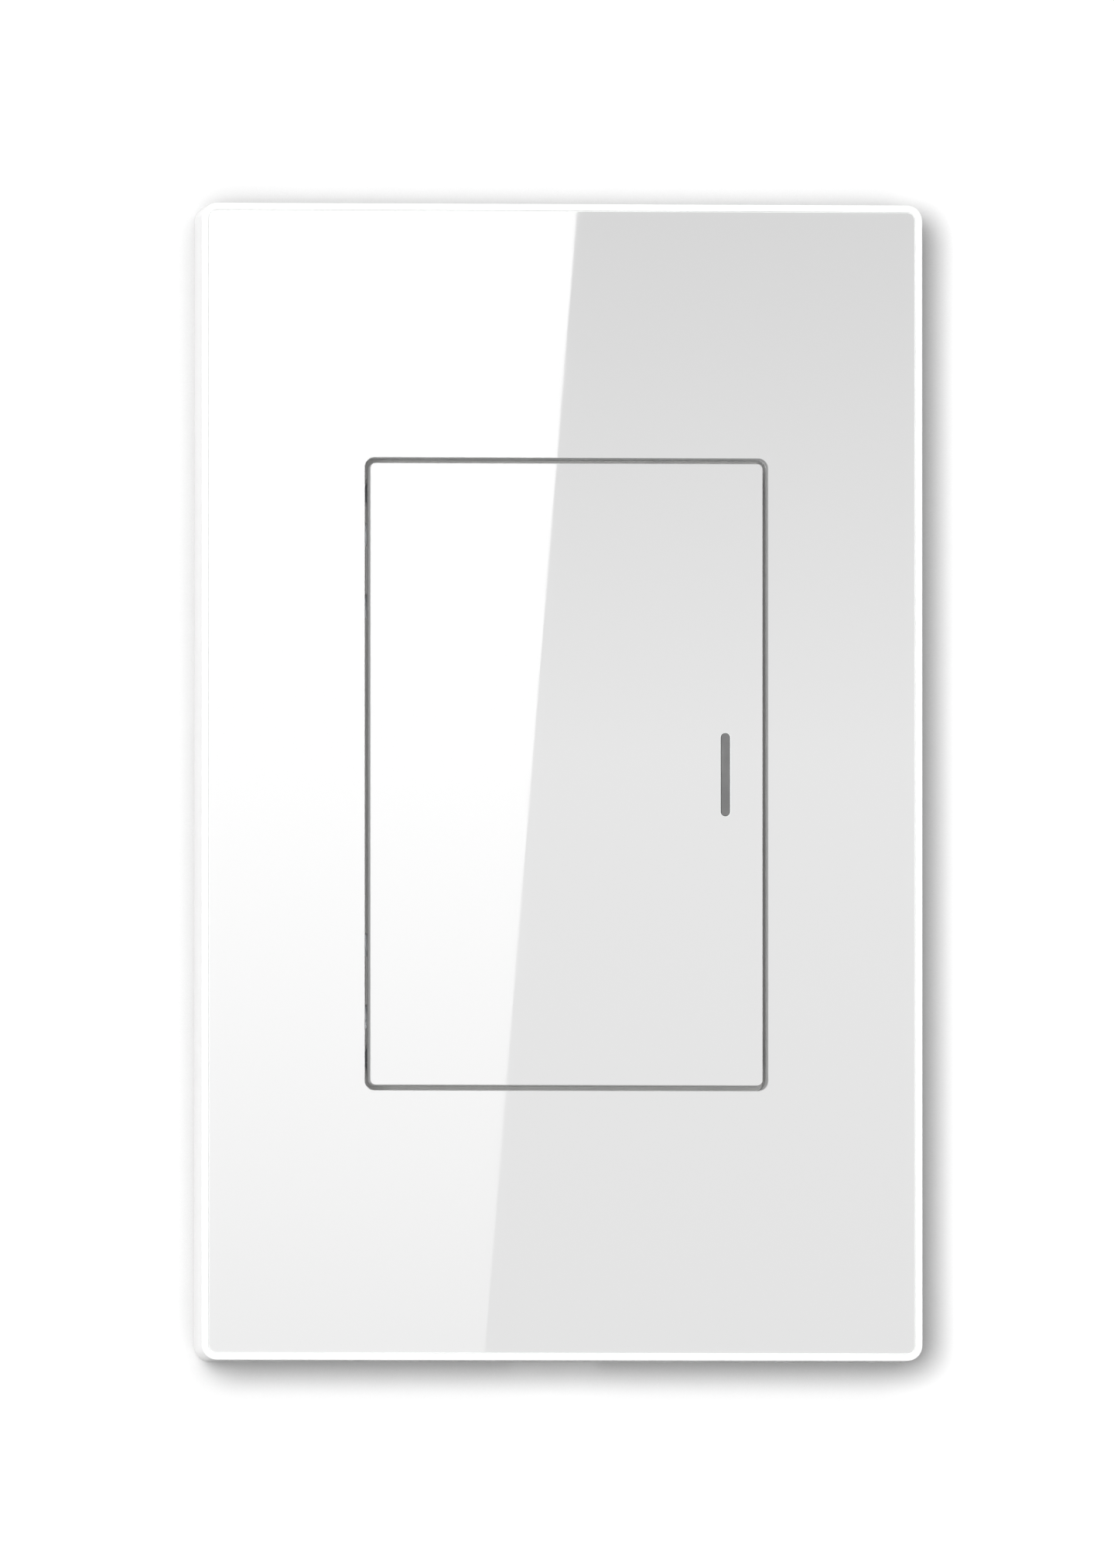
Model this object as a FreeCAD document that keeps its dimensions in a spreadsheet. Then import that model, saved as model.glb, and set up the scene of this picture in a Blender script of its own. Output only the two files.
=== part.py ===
import FreeCAD, Part
import math
import os
import re
import Sketcher

# Smart light switch with one side-hinged key, in millimetres.
# Z is up, the face looks toward -Y and the wall plane is y = 0.

V = FreeCAD.Vector

# Driving sizes, each written once as (name, value, meaning)
SIZES = [
    ("plate_width", 75.0, "outside width of the frame"),
    ("plate_height", 120.0, "outside height of the frame"),
    ("plate_radius", 1.6, "outside corner radius of the frame"),
    ("plate_front", 10.0, "front face of the frame ahead of the wall"),
    ("plate_shift_x", -0.45, "frame centre across from the key centre"),
    ("plate_shift_z", -0.8, "frame centre up from the key centre"),
    ("yoke_end_gap", 2.3, "yoke end to the chassis rim"),
    ("blade_inset_x", 5.3, "frame blades in from the chassis sides"),
    ("blade_inset_z", 16.8, "frame blades in from the chassis ends"),
    ("rim_width", 0.7, "white rim round the frame glass"),
    ("rim_step", 0.1, "rim ahead of the glass face"),
    ("glass_thick", 2.0, "frame and key glass"),
    ("glass_fit", 0.05, "glass edge to its seat"),
    ("glass_bevel", 0.2, "ground edge of the glass"),
    ("tape_thick", 0.25, "adhesive tape"),
    ("tape_inset", 1.5, "tape edge inside the glass edge"),
    ("seat_thick", 1.6, "moulded plate behind the glass"),
    ("skirt_wall", 1.6, "outer wall of the frame moulding"),
    ("window_width", 41.9, "opening in the frame round the key"),
    ("window_height", 65.6, "opening in the frame round the key"),
    ("window_radius", 1.0, "corner radius of the opening"),
    ("flange_wall", 1.2, "upstand round the window"),
    ("flange_gap", 0.4, "window upstand to the chassis plate"),
    ("rib_wall", 1.2, "stiffening ribs"),
    ("frame_rib_deep", 1.5, "depth of the frame ribs"),
    ("frame_rib_beyond", 5.4, "frame ribs beyond the blades"),
    ("notch_width", 9.0, "screwdriver notch in the lower skirt"),
    ("notch_deep", 1.6, "depth of that notch from the wall"),
    ("blade_thick", 1.4, "thickness of a blade"),
    ("blade_wide", 4.6, "width of a blade"),
    ("blade_back", 2.75, "blade tip ahead of the wall"),
    ("groove_back", 3.9, "latch groove ahead of the wall"),
    ("groove_deep", 0.3, "depth of the latch groove"),
    ("groove_half", 0.5, "half height of the latch groove"),
    ("clip_tip_gap", 0.65, "clip leg tips to the frame seat"),
    ("pocket_gap", 1.05, "clip pocket to the frame seat"),
    ("clip_strip", 0.3, "steel strip of a clip"),
    ("clip_wide", 5.0, "width of a clip"),
    ("clip_gap", 0.1, "clip leg to blade side"),
    ("clip_back", 2.2, "clip bend ahead of the wall"),
    ("clip_fit", 0.05, "clip to its pocket"),
    ("clip_bend_room", 0.3, "room for a leg to spread"),
    ("clip_flare", 0.2, "lead-in at the leg tips"),
    ("clip_lead", 0.5, "height of that lead-in"),
    ("clip_hold", 2.9, "front of the narrow part of a pocket ahead of the wall"),
    ("pocket_wall", 1.0, "walls of a clip pocket"),
    ("key_gap", 0.5, "gap between key and frame opening"),
    ("key_radius", 0.6, "corner radius of the key"),
    ("key_rib_room", 1.45, "key ribs to the chassis plate at rest"),
    ("key_travel", 0.8, "key seat to the stop pads at rest"),
    ("key_rib_inset", 1.0, "key rib inside the key edge"),
    ("key_rib_z", 17.4, "cross ribs of the key up and down"),
    ("key_rib_x", 7.3, "long rib of the key left of centre"),
    ("bar_width", 0.96, "light bar slot"),
    ("bar_height", 8.64, "light bar slot"),
    ("bar_fit", 0.05, "light bar to its slot"),
    ("bar_flange", 2.4, "width of the light bar flange"),
    ("bar_flange_tall", 10.0, "height of the light bar flange"),
    ("bar_flange_thick", 0.8, "thickness of the light bar flange"),
    ("bar_seat_deep", 0.6, "recess for the flange in the key moulding"),
    ("bar_stem", 1.4, "width of the light bar behind its flange"),
    ("lamp_inset", 1.45, "light bar in from the edge of the control board"),
    ("hinge_inset", 1.85, "hinge axis in from the key edge"),
    ("hinge_inset_z", 11.0, "middle of a hinge in from the key end"),
    ("hinge_drop", 2.05, "hinge axis behind the key seat"),
    ("hook_inset", 3.3, "key hooks in from the yoke opening"),
    ("pad_inset", 4.45, "stop pads in from the key edge"),
    ("hook_room", 0.5, "room beside a key hook"),
    ("pin_radius", 1.0, "hinge pin"),
    ("pin_fit", 0.05, "hinge pin to its cup"),
    ("lug_gap", 6.0, "clear space between the two lugs of a hinge"),
    ("lug_thick", 1.5, "thickness of a lug"),
    ("lug_radius", 1.4, "rounded end of a lug"),
    ("cup_wide", 5.0, "length of a hinge cup along its pin"),
    ("cup_half", 1.9, "half width of a hinge cup"),
    ("cup_lip", 0.75, "cup lip ahead of the hinge axis"),
    ("hinge_slot_clear", 0.6, "clearance round lugs and cup in the chassis"),
    ("lug_window", 2.4, "chassis opening along the pin for a lug"),
    ("hook_z", 24.5, "key hooks up from the key centre"),
    ("hook_thick", 1.4, "stem of a key hook"),
    ("hook_wide", 3.0, "width of a key hook"),
    ("hook_barb", 1.2, "reach of a key hook"),
    ("hook_barb_deep", 1.0, "height of the barb"),
    ("barb_edge", 0.3, "blunt edge of the barb"),
    ("hook_fit", 0.06, "barb behind its ledge"),
    ("ledge_thick", 1.3, "chassis ledge gripped by a hook"),
    ("leaf_strip", 0.25, "strip of a return spring"),
    ("leaf_wide", 4.0, "width of a return spring"),
    ("leaf_z", 14.0, "return springs up"),
    ("leaf_foot", 3.2, "start of the flat foot of a return spring"),
    ("leaf_pin", 5.6, "heat stake of a return spring across"),
    ("leaf_bend", 8.2, "end of that foot"),
    ("leaf_crest", 13.6, "crest of a return spring across"),
    ("leaf_tip", 15.0, "tip of a return spring across"),
    ("leaf_drop", 0.7, "tip behind the crest"),
    ("leaf_gap", 0.02, "crest to the key at rest"),
    ("pad_z", 9.6, "stop pads up"),
    ("pad_radius", 1.7, "stop pad"),
    ("pad_sink", 0.4, "stop pad recess in the chassis"),
    ("boss_radius", 2.2, "presser boss on the key"),
    ("boss_tall", 0.85, "height of the presser boss"),
    ("press_fit", 0.05, "boss to plunger at rest"),
    ("chassis_clear", 0.6, "frame skirt to chassis"),
    ("chassis_radius", 1.0, "corner radius of the chassis"),
    ("chassis_front", 3.2, "front of the chassis plate ahead of the wall"),
    ("yoke_thick", 1.2, "steel of the yoke, its back on the wall plane"),
    ("yoke_edge", 1.0, "yoke beyond the housing on each side"),
    ("yoke_land", 3.0, "housing seat beside the yoke opening"),
    ("post_land", 2.4, "yoke opening to a housing screw"),
    ("chassis_rim", 1.5, "chassis rim round the yoke"),
    ("yoke_radius", 4.0, "yoke corner"),
    ("yoke_window_radius", 2.0, "opening corner of the yoke"),
    ("yoke_fit", 0.25, "yoke to its locating ribs"),
    ("locate_drop", 0.1, "locating ribs below the wall plane"),
    ("box_pitch", 83.3, "pitch of the box screws"),
    ("box_slot_radius", 2.1, "box screw slot"),
    ("box_slot_long", 7.0, "box screw slot end to end"),
    ("slot_flat", 0.001, "half of the flat left at a slot end"),
    ("access_wide", 13.0, "chassis opening over a box screw"),
    ("access_tall", 9.6, "chassis opening over a box screw"),
    ("mount_inset", 4.0, "chassis screws in from the yoke end"),
    ("screw_radius", 1.3, "thread of the small screws"),
    ("screw_head_radius", 2.3, "head of the small screws"),
    ("screw_head_tall", 1.5, "head of the small screws"),
    ("screw_long", 8.0, "housing screw below its head"),
    ("mount_screw_long", 1.9, "chassis screw below its head"),
    ("screw_clear", 0.25, "clearance round a screw"),
    ("thread_fit", 0.05, "thread to its hole"),
    ("screw_sink", 1.2, "counterbore for the small heads"),
    ("cross_wide", 0.6, "cross recess"),
    ("cross_long", 2.4, "cross recess"),
    ("cross_deep", 0.8, "cross recess"),
    ("ground_x", 14.0, "ground screw left of centre"),
    ("ground_radius", 1.75, "ground screw thread"),
    ("ground_head_radius", 3.4, "ground screw head"),
    ("ground_head_tall", 2.2, "ground screw head"),
    ("ground_long", 2.8, "ground screw below its head"),
    ("board_front", 0.35, "control board behind the wall plane"),
    ("board_thick", 1.6, "both circuit boards"),
    ("board_side", 1.0, "control board to the yoke opening"),
    ("board_end", 4.0, "control board to the yoke opening above and below"),
    ("stake_inset_x", 7.0, "heat stakes in from the control board sides"),
    ("stake_inset_z", 2.6, "heat stakes in from the control board ends"),
    ("stack_gap", 4.25, "space between the boards"),
    ("board_gap", 0.7, "power board to the housing wall"),
    ("stake_post", 4.0, "square posts below the control board"),
    ("stake_radius", 0.8, "stake radius"),
    ("stake_fit", 0.1, "stake to its hole"),
    ("stake_head", 1.5, "radius of the staked head"),
    ("stake_head_tall", 0.6, "staked head"),
    ("push_gap", 0.8, "long post to the control board"),
    ("push_side", 2.8, "square long posts to the power board"),
    ("switch_x", 2.0, "switch left of centre"),
    ("switch_side", 6.0, "square switch base"),
    ("switch_tall", 3.5, "switch base with cover"),
    ("cover_thick", 0.3, "switch cover"),
    ("cover_drop", 1.6, "cover lap down the switch sides"),
    ("plunger_radius", 1.7, "switch plunger"),
    ("plunger_fit", 0.06, "plunger to its hole"),
    ("plunger_back", 1.9, "plunger foot ahead of the wall"),
    ("plunger_room", 0.9, "hole bottom ahead of the wall"),
    ("switch_hole", 8.0, "chassis opening round the switch"),
    ("led_z", 2.3, "indicator lamps up and down"),
    ("led_wide", 0.8, "lamp"),
    ("led_tall", 1.6, "lamp"),
    ("led_thick", 0.6, "lamp"),
    ("baffle_wide", 2.6, "light tube, outside"),
    ("baffle_tall", 11.0, "light tube, outside"),
    ("baffle_wall", 0.7, "light tube wall"),
    ("baffle_gap", 1.55, "light tube to the key seat"),
    ("baffle_clear", 0.4, "chassis opening round the light tube"),
    ("radio_x", 1.0, "radio module across"),
    ("radio_wide", 16.0, "radio module"),
    ("radio_tall", 20.0, "radio module"),
    ("radio_inset", 2.5, "radio module in from the upper board edge"),
    ("radio_thick", 0.8, "radio module board"),
    ("shield_wide", 13.0, "radio shield"),
    ("shield_tall", 13.0, "radio shield"),
    ("shield_deep", 2.0, "radio shield"),
    ("shield_sheet", 0.25, "radio shield sheet"),
    ("shield_round", 0.5, "corner of the radio shield"),
    ("shield_inset", 1.0, "radio shield in from the lower module edge"),
    ("header_inset", 10.0, "board header in from the lower board edge"),
    ("header_pitch", 2.54, "board header pins"),
    ("header_pins", 7.0, "board header pin count"),
    ("header_wide", 2.5, "board header depth across its row"),
    ("socket_deep", 2.4, "socket height"),
    ("socket_floor", 0.3, "socket wall in front of its pins"),
    ("header_base", 1.5, "header base height"),
    ("pin_wide", 0.64, "header pin"),
    ("pin_reach", 1.8, "header pin inside its socket"),
    ("pin_hole_fit", 0.1, "header pin to its hole"),
    ("pin_tail", 1.2, "pin behind the power board"),
    ("part_inset", 2.2, "soldered parts in from the power board edge"),
    ("relay_inset", 3.75, "relay in from the power board edge"),
    ("coil_inset", 4.6, "transformer in from the power board edge"),
    ("relay_z", 11.5, "relay centre"),
    ("relay_wide", 15.5, "relay"),
    ("relay_tall", 19.0, "relay"),
    ("relay_deep", 15.3, "relay"),
    ("relay_radius", 0.8, "relay case corner"),
    ("coil_z", 12.5, "transformer centre"),
    ("core_wide", 11.0, "transformer core"),
    ("core_tall", 5.0, "transformer core"),
    ("core_deep", 11.0, "transformer core"),
    ("core_leg", 2.2, "outer legs and yokes of the core"),
    ("core_mid", 2.8, "middle leg of the core"),
    ("winding_fit", 0.15, "winding to core"),
    ("winding_over", 2.0, "winding beyond the core"),
    ("film_z", -4.0, "film capacitor centre"),
    ("film_wide", 13.0, "film capacitor"),
    ("film_tall", 6.0, "film capacitor"),
    ("film_deep", 12.0, "film capacitor"),
    ("film_radius", 0.5, "film capacitor corner"),
    ("can_pitch", 9.4, "bulk capacitor pitch"),
    ("can_z", -3.0, "bulk capacitors"),
    ("can_radius", 4.0, "bulk capacitor"),
    ("can_deep", 12.5, "bulk capacitor"),
    ("small_bevel", 0.3, "small bevels of boxed parts and pads"),
    ("varistor_radius", 4.0, "varistor disc"),
    ("varistor_thick", 3.4, "varistor disc"),
    ("varistor_rise", 4.6, "varistor above the contact tails"),
    ("fuse_radius", 1.7, "fusible resistor"),
    ("fuse_long", 8.4, "fusible resistor"),
    ("fuse_rise", 5.6, "fusible resistor above the contact tails"),
    ("lead_side", 0.6, "component leads"),
    ("housing_height", 66.0, "rear housing"),
    ("housing_radius", 3.0, "rear housing corner"),
    ("housing_wall", 1.6, "rear housing wall"),
    ("ground_beyond", 5.5, "ground screw beyond the end of the housing"),
    ("back_round", 0.9, "rounding round the rear face"),
    ("recess_deep", 2.2, "terminal recess below the rear face"),
    ("post_inset", 3.8, "housing screws in from the housing side"),
    ("post_inset_z", 3.6, "housing screws in from the housing end"),
    ("column_radius", 2.8, "screw columns of the housing"),
    ("column_gap", 0.6, "column to the power board notch"),
    ("column_hole_deep", 6.5, "blind holes for the housing screws"),
    ("ledge_rib", 1.5, "ribs that carry the power board"),
    ("ledge_rib_z", 16.0, "spacing of those ribs"),
    ("vent_long", 14.0, "vent slot"),
    ("vent_wide", 1.2, "vent slot"),
    ("vent_step", 3.6, "vent slot spacing"),
    ("vent_z", 20.0, "uppermost vent slot"),
    ("pole_pitch", 9.6, "terminal pitch"),
    ("block_gap", 0.4, "terminal block to a screw column"),
    ("block_end", 1.55, "end wall of the terminal block"),
    ("block_wall", 2.0, "entry wall of the terminal block"),
    ("block_seat", 0.2, "terminal block to the housing wall"),
    ("block_rear_wall", 1.8, "inner wall of the terminal block"),
    ("block_lip", 0.25, "block face beyond the screw heads"),
    ("cavity_tall", 6.4, "cavity along the wire"),
    ("recess_lap", 2.0, "terminal recess beyond the block"),
    ("cavity_half", 3.85, "half width of a terminal cavity"),
    ("cage_half", 3.6, "half width of a clamp cage"),
    ("cage_side", 0.95, "side wall of a clamp cage"),
    ("cage_tall", 5.0, "cage along the wire"),
    ("cage_room", 0.6, "cage to the power board at rest"),
    ("wire_gap", 4.2, "open wire space of a terminal"),
    ("cage_floor", 1.0, "front wall of a cage"),
    ("cage_nut", 1.9, "threaded wall of a cage"),
    ("clamp_travel", 3.0, "travel of a clamp"),
    ("cage_stop", 0.15, "cage to its stop when closed"),
    ("bar_gap", 0.3, "contact bar to the threaded wall"),
    ("contact_thick", 1.0, "thickness of a contact bar"),
    ("bar_half", 2.4, "half width of a contact bar"),
    ("bar_seat", 0.8, "contact bar end inside the entry wall"),
    ("bar_slot_fit", 0.05, "contact bar to its slot"),
    ("tail_half", 1.2, "half width of a contact tail"),
    ("tail_reach", 2.4, "contact tail beyond the block"),
    ("tail_poke", 0.6, "contact tail through the power board"),
    ("tail_thick", 1.0, "thickness of a contact tail"),
    ("tail_fit", 0.1, "contact tail to its slot"),
    ("clamp_screw_radius", 1.5, "terminal screw thread"),
    ("clamp_screw_fit", 0.05, "terminal screw to the cage thread"),
    ("clamp_tip_gap", 0.2, "screw tip to the contact bar"),
    ("shoulder_thick", 0.9, "shoulder below a screw head"),
    ("head_gap", 0.1, "screw head to its shoulder"),
    ("clamp_head_tall", 2.0, "height of a screw head"),
    ("clamp_head_radius", 2.6, "head of a terminal screw"),
    ("head_clear", 0.35, "clearance round a terminal screw head"),
    ("driver_radius", 2.3, "screwdriver hole in the housing"),
    ("entry_half", 2.3, "half width of a wire entry"),
]

# Positions worked out from the driving sizes, as formulas in the same names
DERIVED = {
    "glass_back_y": "(-plate_front + rim_step + glass_thick)",
    "glass_front_y": "(-plate_front + rim_step)",
    "seat_front_y": "(glass_back_y + tape_thick)",
    "seat_back_y": "(seat_front_y + seat_thick)",
    "key_width": "(window_width - 2 * key_gap)",
    "key_height": "(window_height - 2 * key_gap)",
    "glass_width": "(plate_width - 2 * rim_width - 2 * glass_fit)",
    "glass_height": "(plate_height - 2 * rim_width - 2 * glass_fit)",
    "skirt_in_width": "(plate_width - 2 * skirt_wall)",
    "skirt_in_height": "(plate_height - 2 * skirt_wall)",
    "chassis_width": "(skirt_in_width - 2 * chassis_clear)",
    "chassis_height": "(skirt_in_height - 2 * chassis_clear)",
    "blade_x": "(chassis_width / 2 - blade_inset_x)",
    "blade_z": "(chassis_height / 2 - blade_inset_z)",
    "flange_back": "(chassis_front + flange_gap)",
    "clip_front": "(-seat_back_y - clip_tip_gap)",
    "pocket_front": "(-seat_back_y - pocket_gap)",
    "key_rib_deep": "(-chassis_front - key_rib_room - seat_back_y)",
    "hinge_x": "(key_width / 2 - hinge_inset)",
    "hinge_z": "(key_height / 2 - hinge_inset_z)",
    "hinge_front": "(-seat_back_y - hinge_drop)",
    "pad_x": "(key_width / 2 - pad_inset)",
    "pad_front": "(-seat_back_y - key_travel)",
    "plunger_front": "(-seat_back_y - boss_tall - press_fit)",
    "baffle_front": "(-seat_back_y - baffle_gap)",
    "hook_x": "(yoke_window_wide / 2 - hook_inset)",
    "bar_x": "(board_width / 2 - lamp_inset)",
    "block_wide": "(2 * pole_pitch + 2 * cavity_half + 2 * block_end)",
    "post_x": "(block_wide / 2 + block_gap + column_radius)",
    "post_z": "(housing_height / 2 - post_inset_z)",
    "housing_width": "(2 * post_x + 2 * post_inset)",
    "yoke_width": "(housing_width + 2 * yoke_edge)",
    "yoke_height": "(chassis_height - 2 * chassis_rim - 2 * yoke_end_gap)",
    "yoke_window_wide": "(housing_width - 2 * yoke_land)",
    "yoke_window_tall": "(2 * post_z - 2 * post_land)",
    "mount_z": "(yoke_height / 2 - mount_inset)",
    "ground_z": "(housing_height / 2 + ground_beyond)",
    "board_back": "(board_front + board_thick)",
    "board_width": "(yoke_window_wide - 2 * board_side)",
    "board_height": "(yoke_window_tall - 2 * board_end)",
    "stake_x": "(board_width / 2 - stake_inset_x)",
    "stake_z": "(board_height / 2 - stake_inset_z)",
    "push_z": "(board_height / 2 + push_gap + push_side / 2)",
    "radio_z": "(board_height / 2 - radio_tall / 2 - radio_inset)",
    "header_z": "(header_inset - board_height / 2)",
    "power_front": "(board_back + stack_gap)",
    "power_back": "(power_front + board_thick)",
    "power_width": "(housing_width - 2 * housing_wall - 2 * board_gap)",
    "power_height": "(housing_height - 2 * housing_wall - 2 * board_gap)",
    "power_notch_x": "(post_x - column_radius - column_gap)",
    "power_notch_z": "(post_z - column_radius - column_gap)",
    "relay_x": "(-power_width / 2 + relay_wide / 2 + relay_inset)",
    "coil_x": "(power_width / 2 - core_wide / 2 - coil_inset)",
    "film_x": "(-power_width / 2 + film_wide / 2 + part_inset)",
    "varistor_x": "(-power_width / 2 + varistor_radius + part_inset)",
    "fuse_x": "(power_width / 2 - fuse_long / 2 - part_inset)",
    "can_x": "(power_width / 2 - can_radius - part_inset - can_pitch)",
    "block_low": "(-housing_height / 2 + housing_wall + block_seat)",
    "cavity_low": "(block_low + block_wall)",
    "cavity_high": "(cavity_low + cavity_tall)",
    "block_high": "(cavity_high + block_rear_wall)",
    "pole_z": "(cavity_low + cavity_tall / 2)",
    "cage_low": "(pole_z - cage_tall / 2)",
    "cage_high": "(pole_z + cage_tall / 2)",
    "cage_front": "(power_back + cage_room)",
    "entry_front": "(cage_front + cage_floor)",
    "entry_back": "(entry_front + wire_gap)",
    "bar_front": "entry_back",
    "bar_back": "(bar_front + contact_thick)",
    "cage_back": "(bar_back + bar_gap + cage_nut)",
    "cavity_back": "(cage_back + clamp_travel + cage_stop)",
    "shoulder_back": "(cavity_back + shoulder_thick)",
    "clamp_head_front": "(shoulder_back + head_gap)",
    "clamp_head_back": "(clamp_head_front + clamp_head_tall)",
    "clamp_screw_tip": "(bar_back + clamp_tip_gap)",
    "block_back": "(clamp_head_back + block_lip)",
    "recess_floor": "(block_back + housing_wall)",
    "housing_back": "(recess_floor + recess_deep)",
    "recess_z": "(block_high + recess_lap)",
    "tail_high": "(block_high + tail_reach)",
    "tail_end": "(power_front - tail_poke)",
    "varistor_z": "(tail_high + varistor_rise)",
    "fuse_z": "(tail_high + fuse_rise)",
}

NAME = re.compile(r"[A-Za-z_][A-Za-z_0-9]*")
SIZE_NAMES = {row[0] for row in SIZES}


def expand(formula):
    """Turn a formula in plain size names into one that reads the sheet."""

    def swap(match):
        word = match.group(0)
        if word in DERIVED:
            return expand(DERIVED[word])
        if word in SIZE_NAMES:
            return "Sizes." + word
        return word

    return NAME.sub(swap, str(formula))


doc = FreeCAD.newDocument("smart_light_switch")
sheet = doc.addObject("Spreadsheet::Sheet", "Sizes")
for row, (alias, amount, meaning) in enumerate(SIZES, start=1):
    sheet.set("A%d" % row, alias)
    sheet.set("B%d" % row, str(amount))
    sheet.setAlias("B%d" % row, alias)
    sheet.set("C%d" % row, meaning)
doc.recompute()


def number(formula):
    """Present value of a formula, in millimetres."""
    found = sheet.evalExpression(expand(formula))
    return float(getattr(found, "Value", found))


def bind(item, prop, formula):
    """Let a property follow a formula of the sheet."""
    item.setExpression(prop, expand(formula))


class Outline:
    """A closed shape drawn in a sketch and tied to the sheet."""

    def __init__(self, draw, *formulas):
        self.draw = draw
        self.formulas = formulas


def tie(sketch, kind, item, spot, formula, other=None):
    """Add one bound distance, from the origin or between two points."""
    first = (-1, 1) if other is None else other
    rank = sketch.addConstraint(
        Sketcher.Constraint(kind, first[0], first[1], item, spot, number(formula)))
    name = "size_%d" % rank
    sketch.renameConstraint(rank, name)
    bind(sketch, "Constraints." + name, formula)


def draw_polygon(sketch, *points):
    """Straight-sided shape with every corner bound to the sheet."""
    spots = [V(number(across), number(up), 0) for across, up in points]
    first = sketch.GeometryCount
    count = len(spots)
    for rank in range(count):
        sketch.addGeometry(Part.LineSegment(spots[rank], spots[(rank + 1) % count]))
    for rank in range(count):
        sketch.addConstraint(Sketcher.Constraint(
            "Coincident", first + rank, 2, first + (rank + 1) % count, 1))
    for rank, (across, up) in enumerate(points):
        tie(sketch, "DistanceX", first + rank, 1, across)
        tie(sketch, "DistanceY", first + rank, 1, up)


def draw_circle(sketch, across, up, radius):
    """Circle bound to the sheet."""
    centre = V(number(across), number(up), 0)
    item = sketch.addGeometry(Part.Circle(centre, V(0, 0, 1), number(radius)))
    tie(sketch, "DistanceX", item, 3, across)
    tie(sketch, "DistanceY", item, 3, up)
    rank = sketch.addConstraint(Sketcher.Constraint("Radius", item, number(radius)))
    sketch.renameConstraint(rank, "size_%d" % rank)
    bind(sketch, "Constraints.size_%d" % rank, radius)


def draw_box(sketch, across, up, width, height):
    """Upright rectangle bound to the sheet."""
    left = "(%s) - (%s) / 2" % (across, width)
    right = "(%s) + (%s) / 2" % (across, width)
    low = "(%s) - (%s) / 2" % (up, height)
    high = "(%s) + (%s) / 2" % (up, height)
    draw_polygon(sketch, (left, low), (right, low), (right, high), (left, high))


def draw_round_box(sketch, across, up, width, height, radius):
    """Upright rectangle with rounded corners, bound to the sheet."""
    x, z = number(across), number(up)
    w, h, r = number(width) / 2, number(height) / 2, number(radius)
    corners = [(x + w - r, z + h - r), (x - w + r, z + h - r),
               (x - w + r, z - h + r), (x + w - r, z - h + r)]
    first = sketch.GeometryCount
    for rank, (cx, cz) in enumerate(corners):
        start = rank * math.pi / 2
        circle = Part.Circle(V(cx, cz, 0), V(0, 0, 1), r)
        sketch.addGeometry(Part.ArcOfCircle(circle, start, start + math.pi / 2))
    ends = [((x + w - r, z + h), (x - w + r, z + h)), ((x - w, z + h - r), (x - w, z - h + r)),
            ((x - w + r, z - h), (x + w - r, z - h)), ((x + w, z - h + r), (x + w, z + h - r))]
    for start, end in ends:
        sketch.addGeometry(Part.LineSegment(V(*start, 0), V(*end, 0)))
    for rank in range(4):
        line = first + 4 + rank
        sketch.addConstraint(Sketcher.Constraint("Tangent", first + rank, 2, line, 1))
        sketch.addConstraint(Sketcher.Constraint("Tangent", line, 2, first + (rank + 1) % 4, 1))
        if rank:
            sketch.addConstraint(Sketcher.Constraint("Equal", first, first + rank))
        sketch.addConstraint(Sketcher.Constraint("Vertical" if rank % 2 else "Horizontal", line))
    rank = sketch.addConstraint(Sketcher.Constraint("Radius", first, r))
    sketch.renameConstraint(rank, "size_%d" % rank)
    bind(sketch, "Constraints.size_%d" % rank, radius)
    tie(sketch, "DistanceX", first + 5, 1, "(%s) - (%s) / 2" % (across, width))
    tie(sketch, "DistanceX", first + 7, 1, "(%s) + (%s) / 2" % (across, width))
    tie(sketch, "DistanceY", first + 6, 1, "(%s) - (%s) / 2" % (up, height))
    tie(sketch, "DistanceY", first + 4, 1, "(%s) + (%s) / 2" % (up, height))


def polygon(*points):
    """Outline through corner points."""
    return Outline(draw_polygon, *points)


def circle(across, up, radius):
    """Round outline."""
    return Outline(draw_circle, across, up, radius)


def box(across, up, width, height):
    """Upright rectangular outline."""
    return Outline(draw_box, across, up, width, height)


def round_box(across, up, width, height, radius):
    """Upright rectangular outline with rounded corners."""
    return Outline(draw_round_box, across, up, width, height, radius)


def both(make, across, up, *rest):
    """The same outline mirrored to the four corners round the origin."""
    return [make("%s(%s)" % (sx, across), "%s(%s)" % (sz, up), *rest)
            for sx in ("", "-") for sz in ("", "-")]


def above_below(make, across, up, *rest):
    """The same outline above and below the middle."""
    return [make(across, "%s(%s)" % (sign, up), *rest) for sign in ("", "-")]


# Sketch planes: role, sign of the sheet position along the sketch normal
PLANES = {"Y": ("XZ_Plane", "-"), "Z": ("XY_Plane", ""), "X": ("YZ_Plane", "")}


def new_body(label, x="0", y="0", z="0"):
    """Empty body at a bound place."""
    body = doc.addObject("PartDesign::Body", label)
    body.Label = label
    for axis, formula in zip("xyz", (x, y, z)):
        if formula != "0":
            bind(body, "Placement.Base." + axis, formula)
    return body


def new_sketch(body, axis, place, outlines):
    """Sketch square to an axis of its body at a bound place along it."""
    role, sign = PLANES[axis]
    plane = [item for item in body.Origin.OriginFeatures if item.Role == role][0]
    sketch = body.newObject("Sketcher::SketchObject", body.Label + "_sketch")
    sketch.AttachmentSupport = [(plane, "")]
    sketch.MapMode = "FlatFace"
    bind(sketch, "AttachmentOffset.Base.z", "%s(%s)" % (sign, place))
    for outline in outlines:
        outline.draw(sketch, *outline.formulas)
    return sketch


def as_list(outlines):
    """A single outline as a list of one."""
    return outlines if isinstance(outlines, list) else [outlines]


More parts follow.
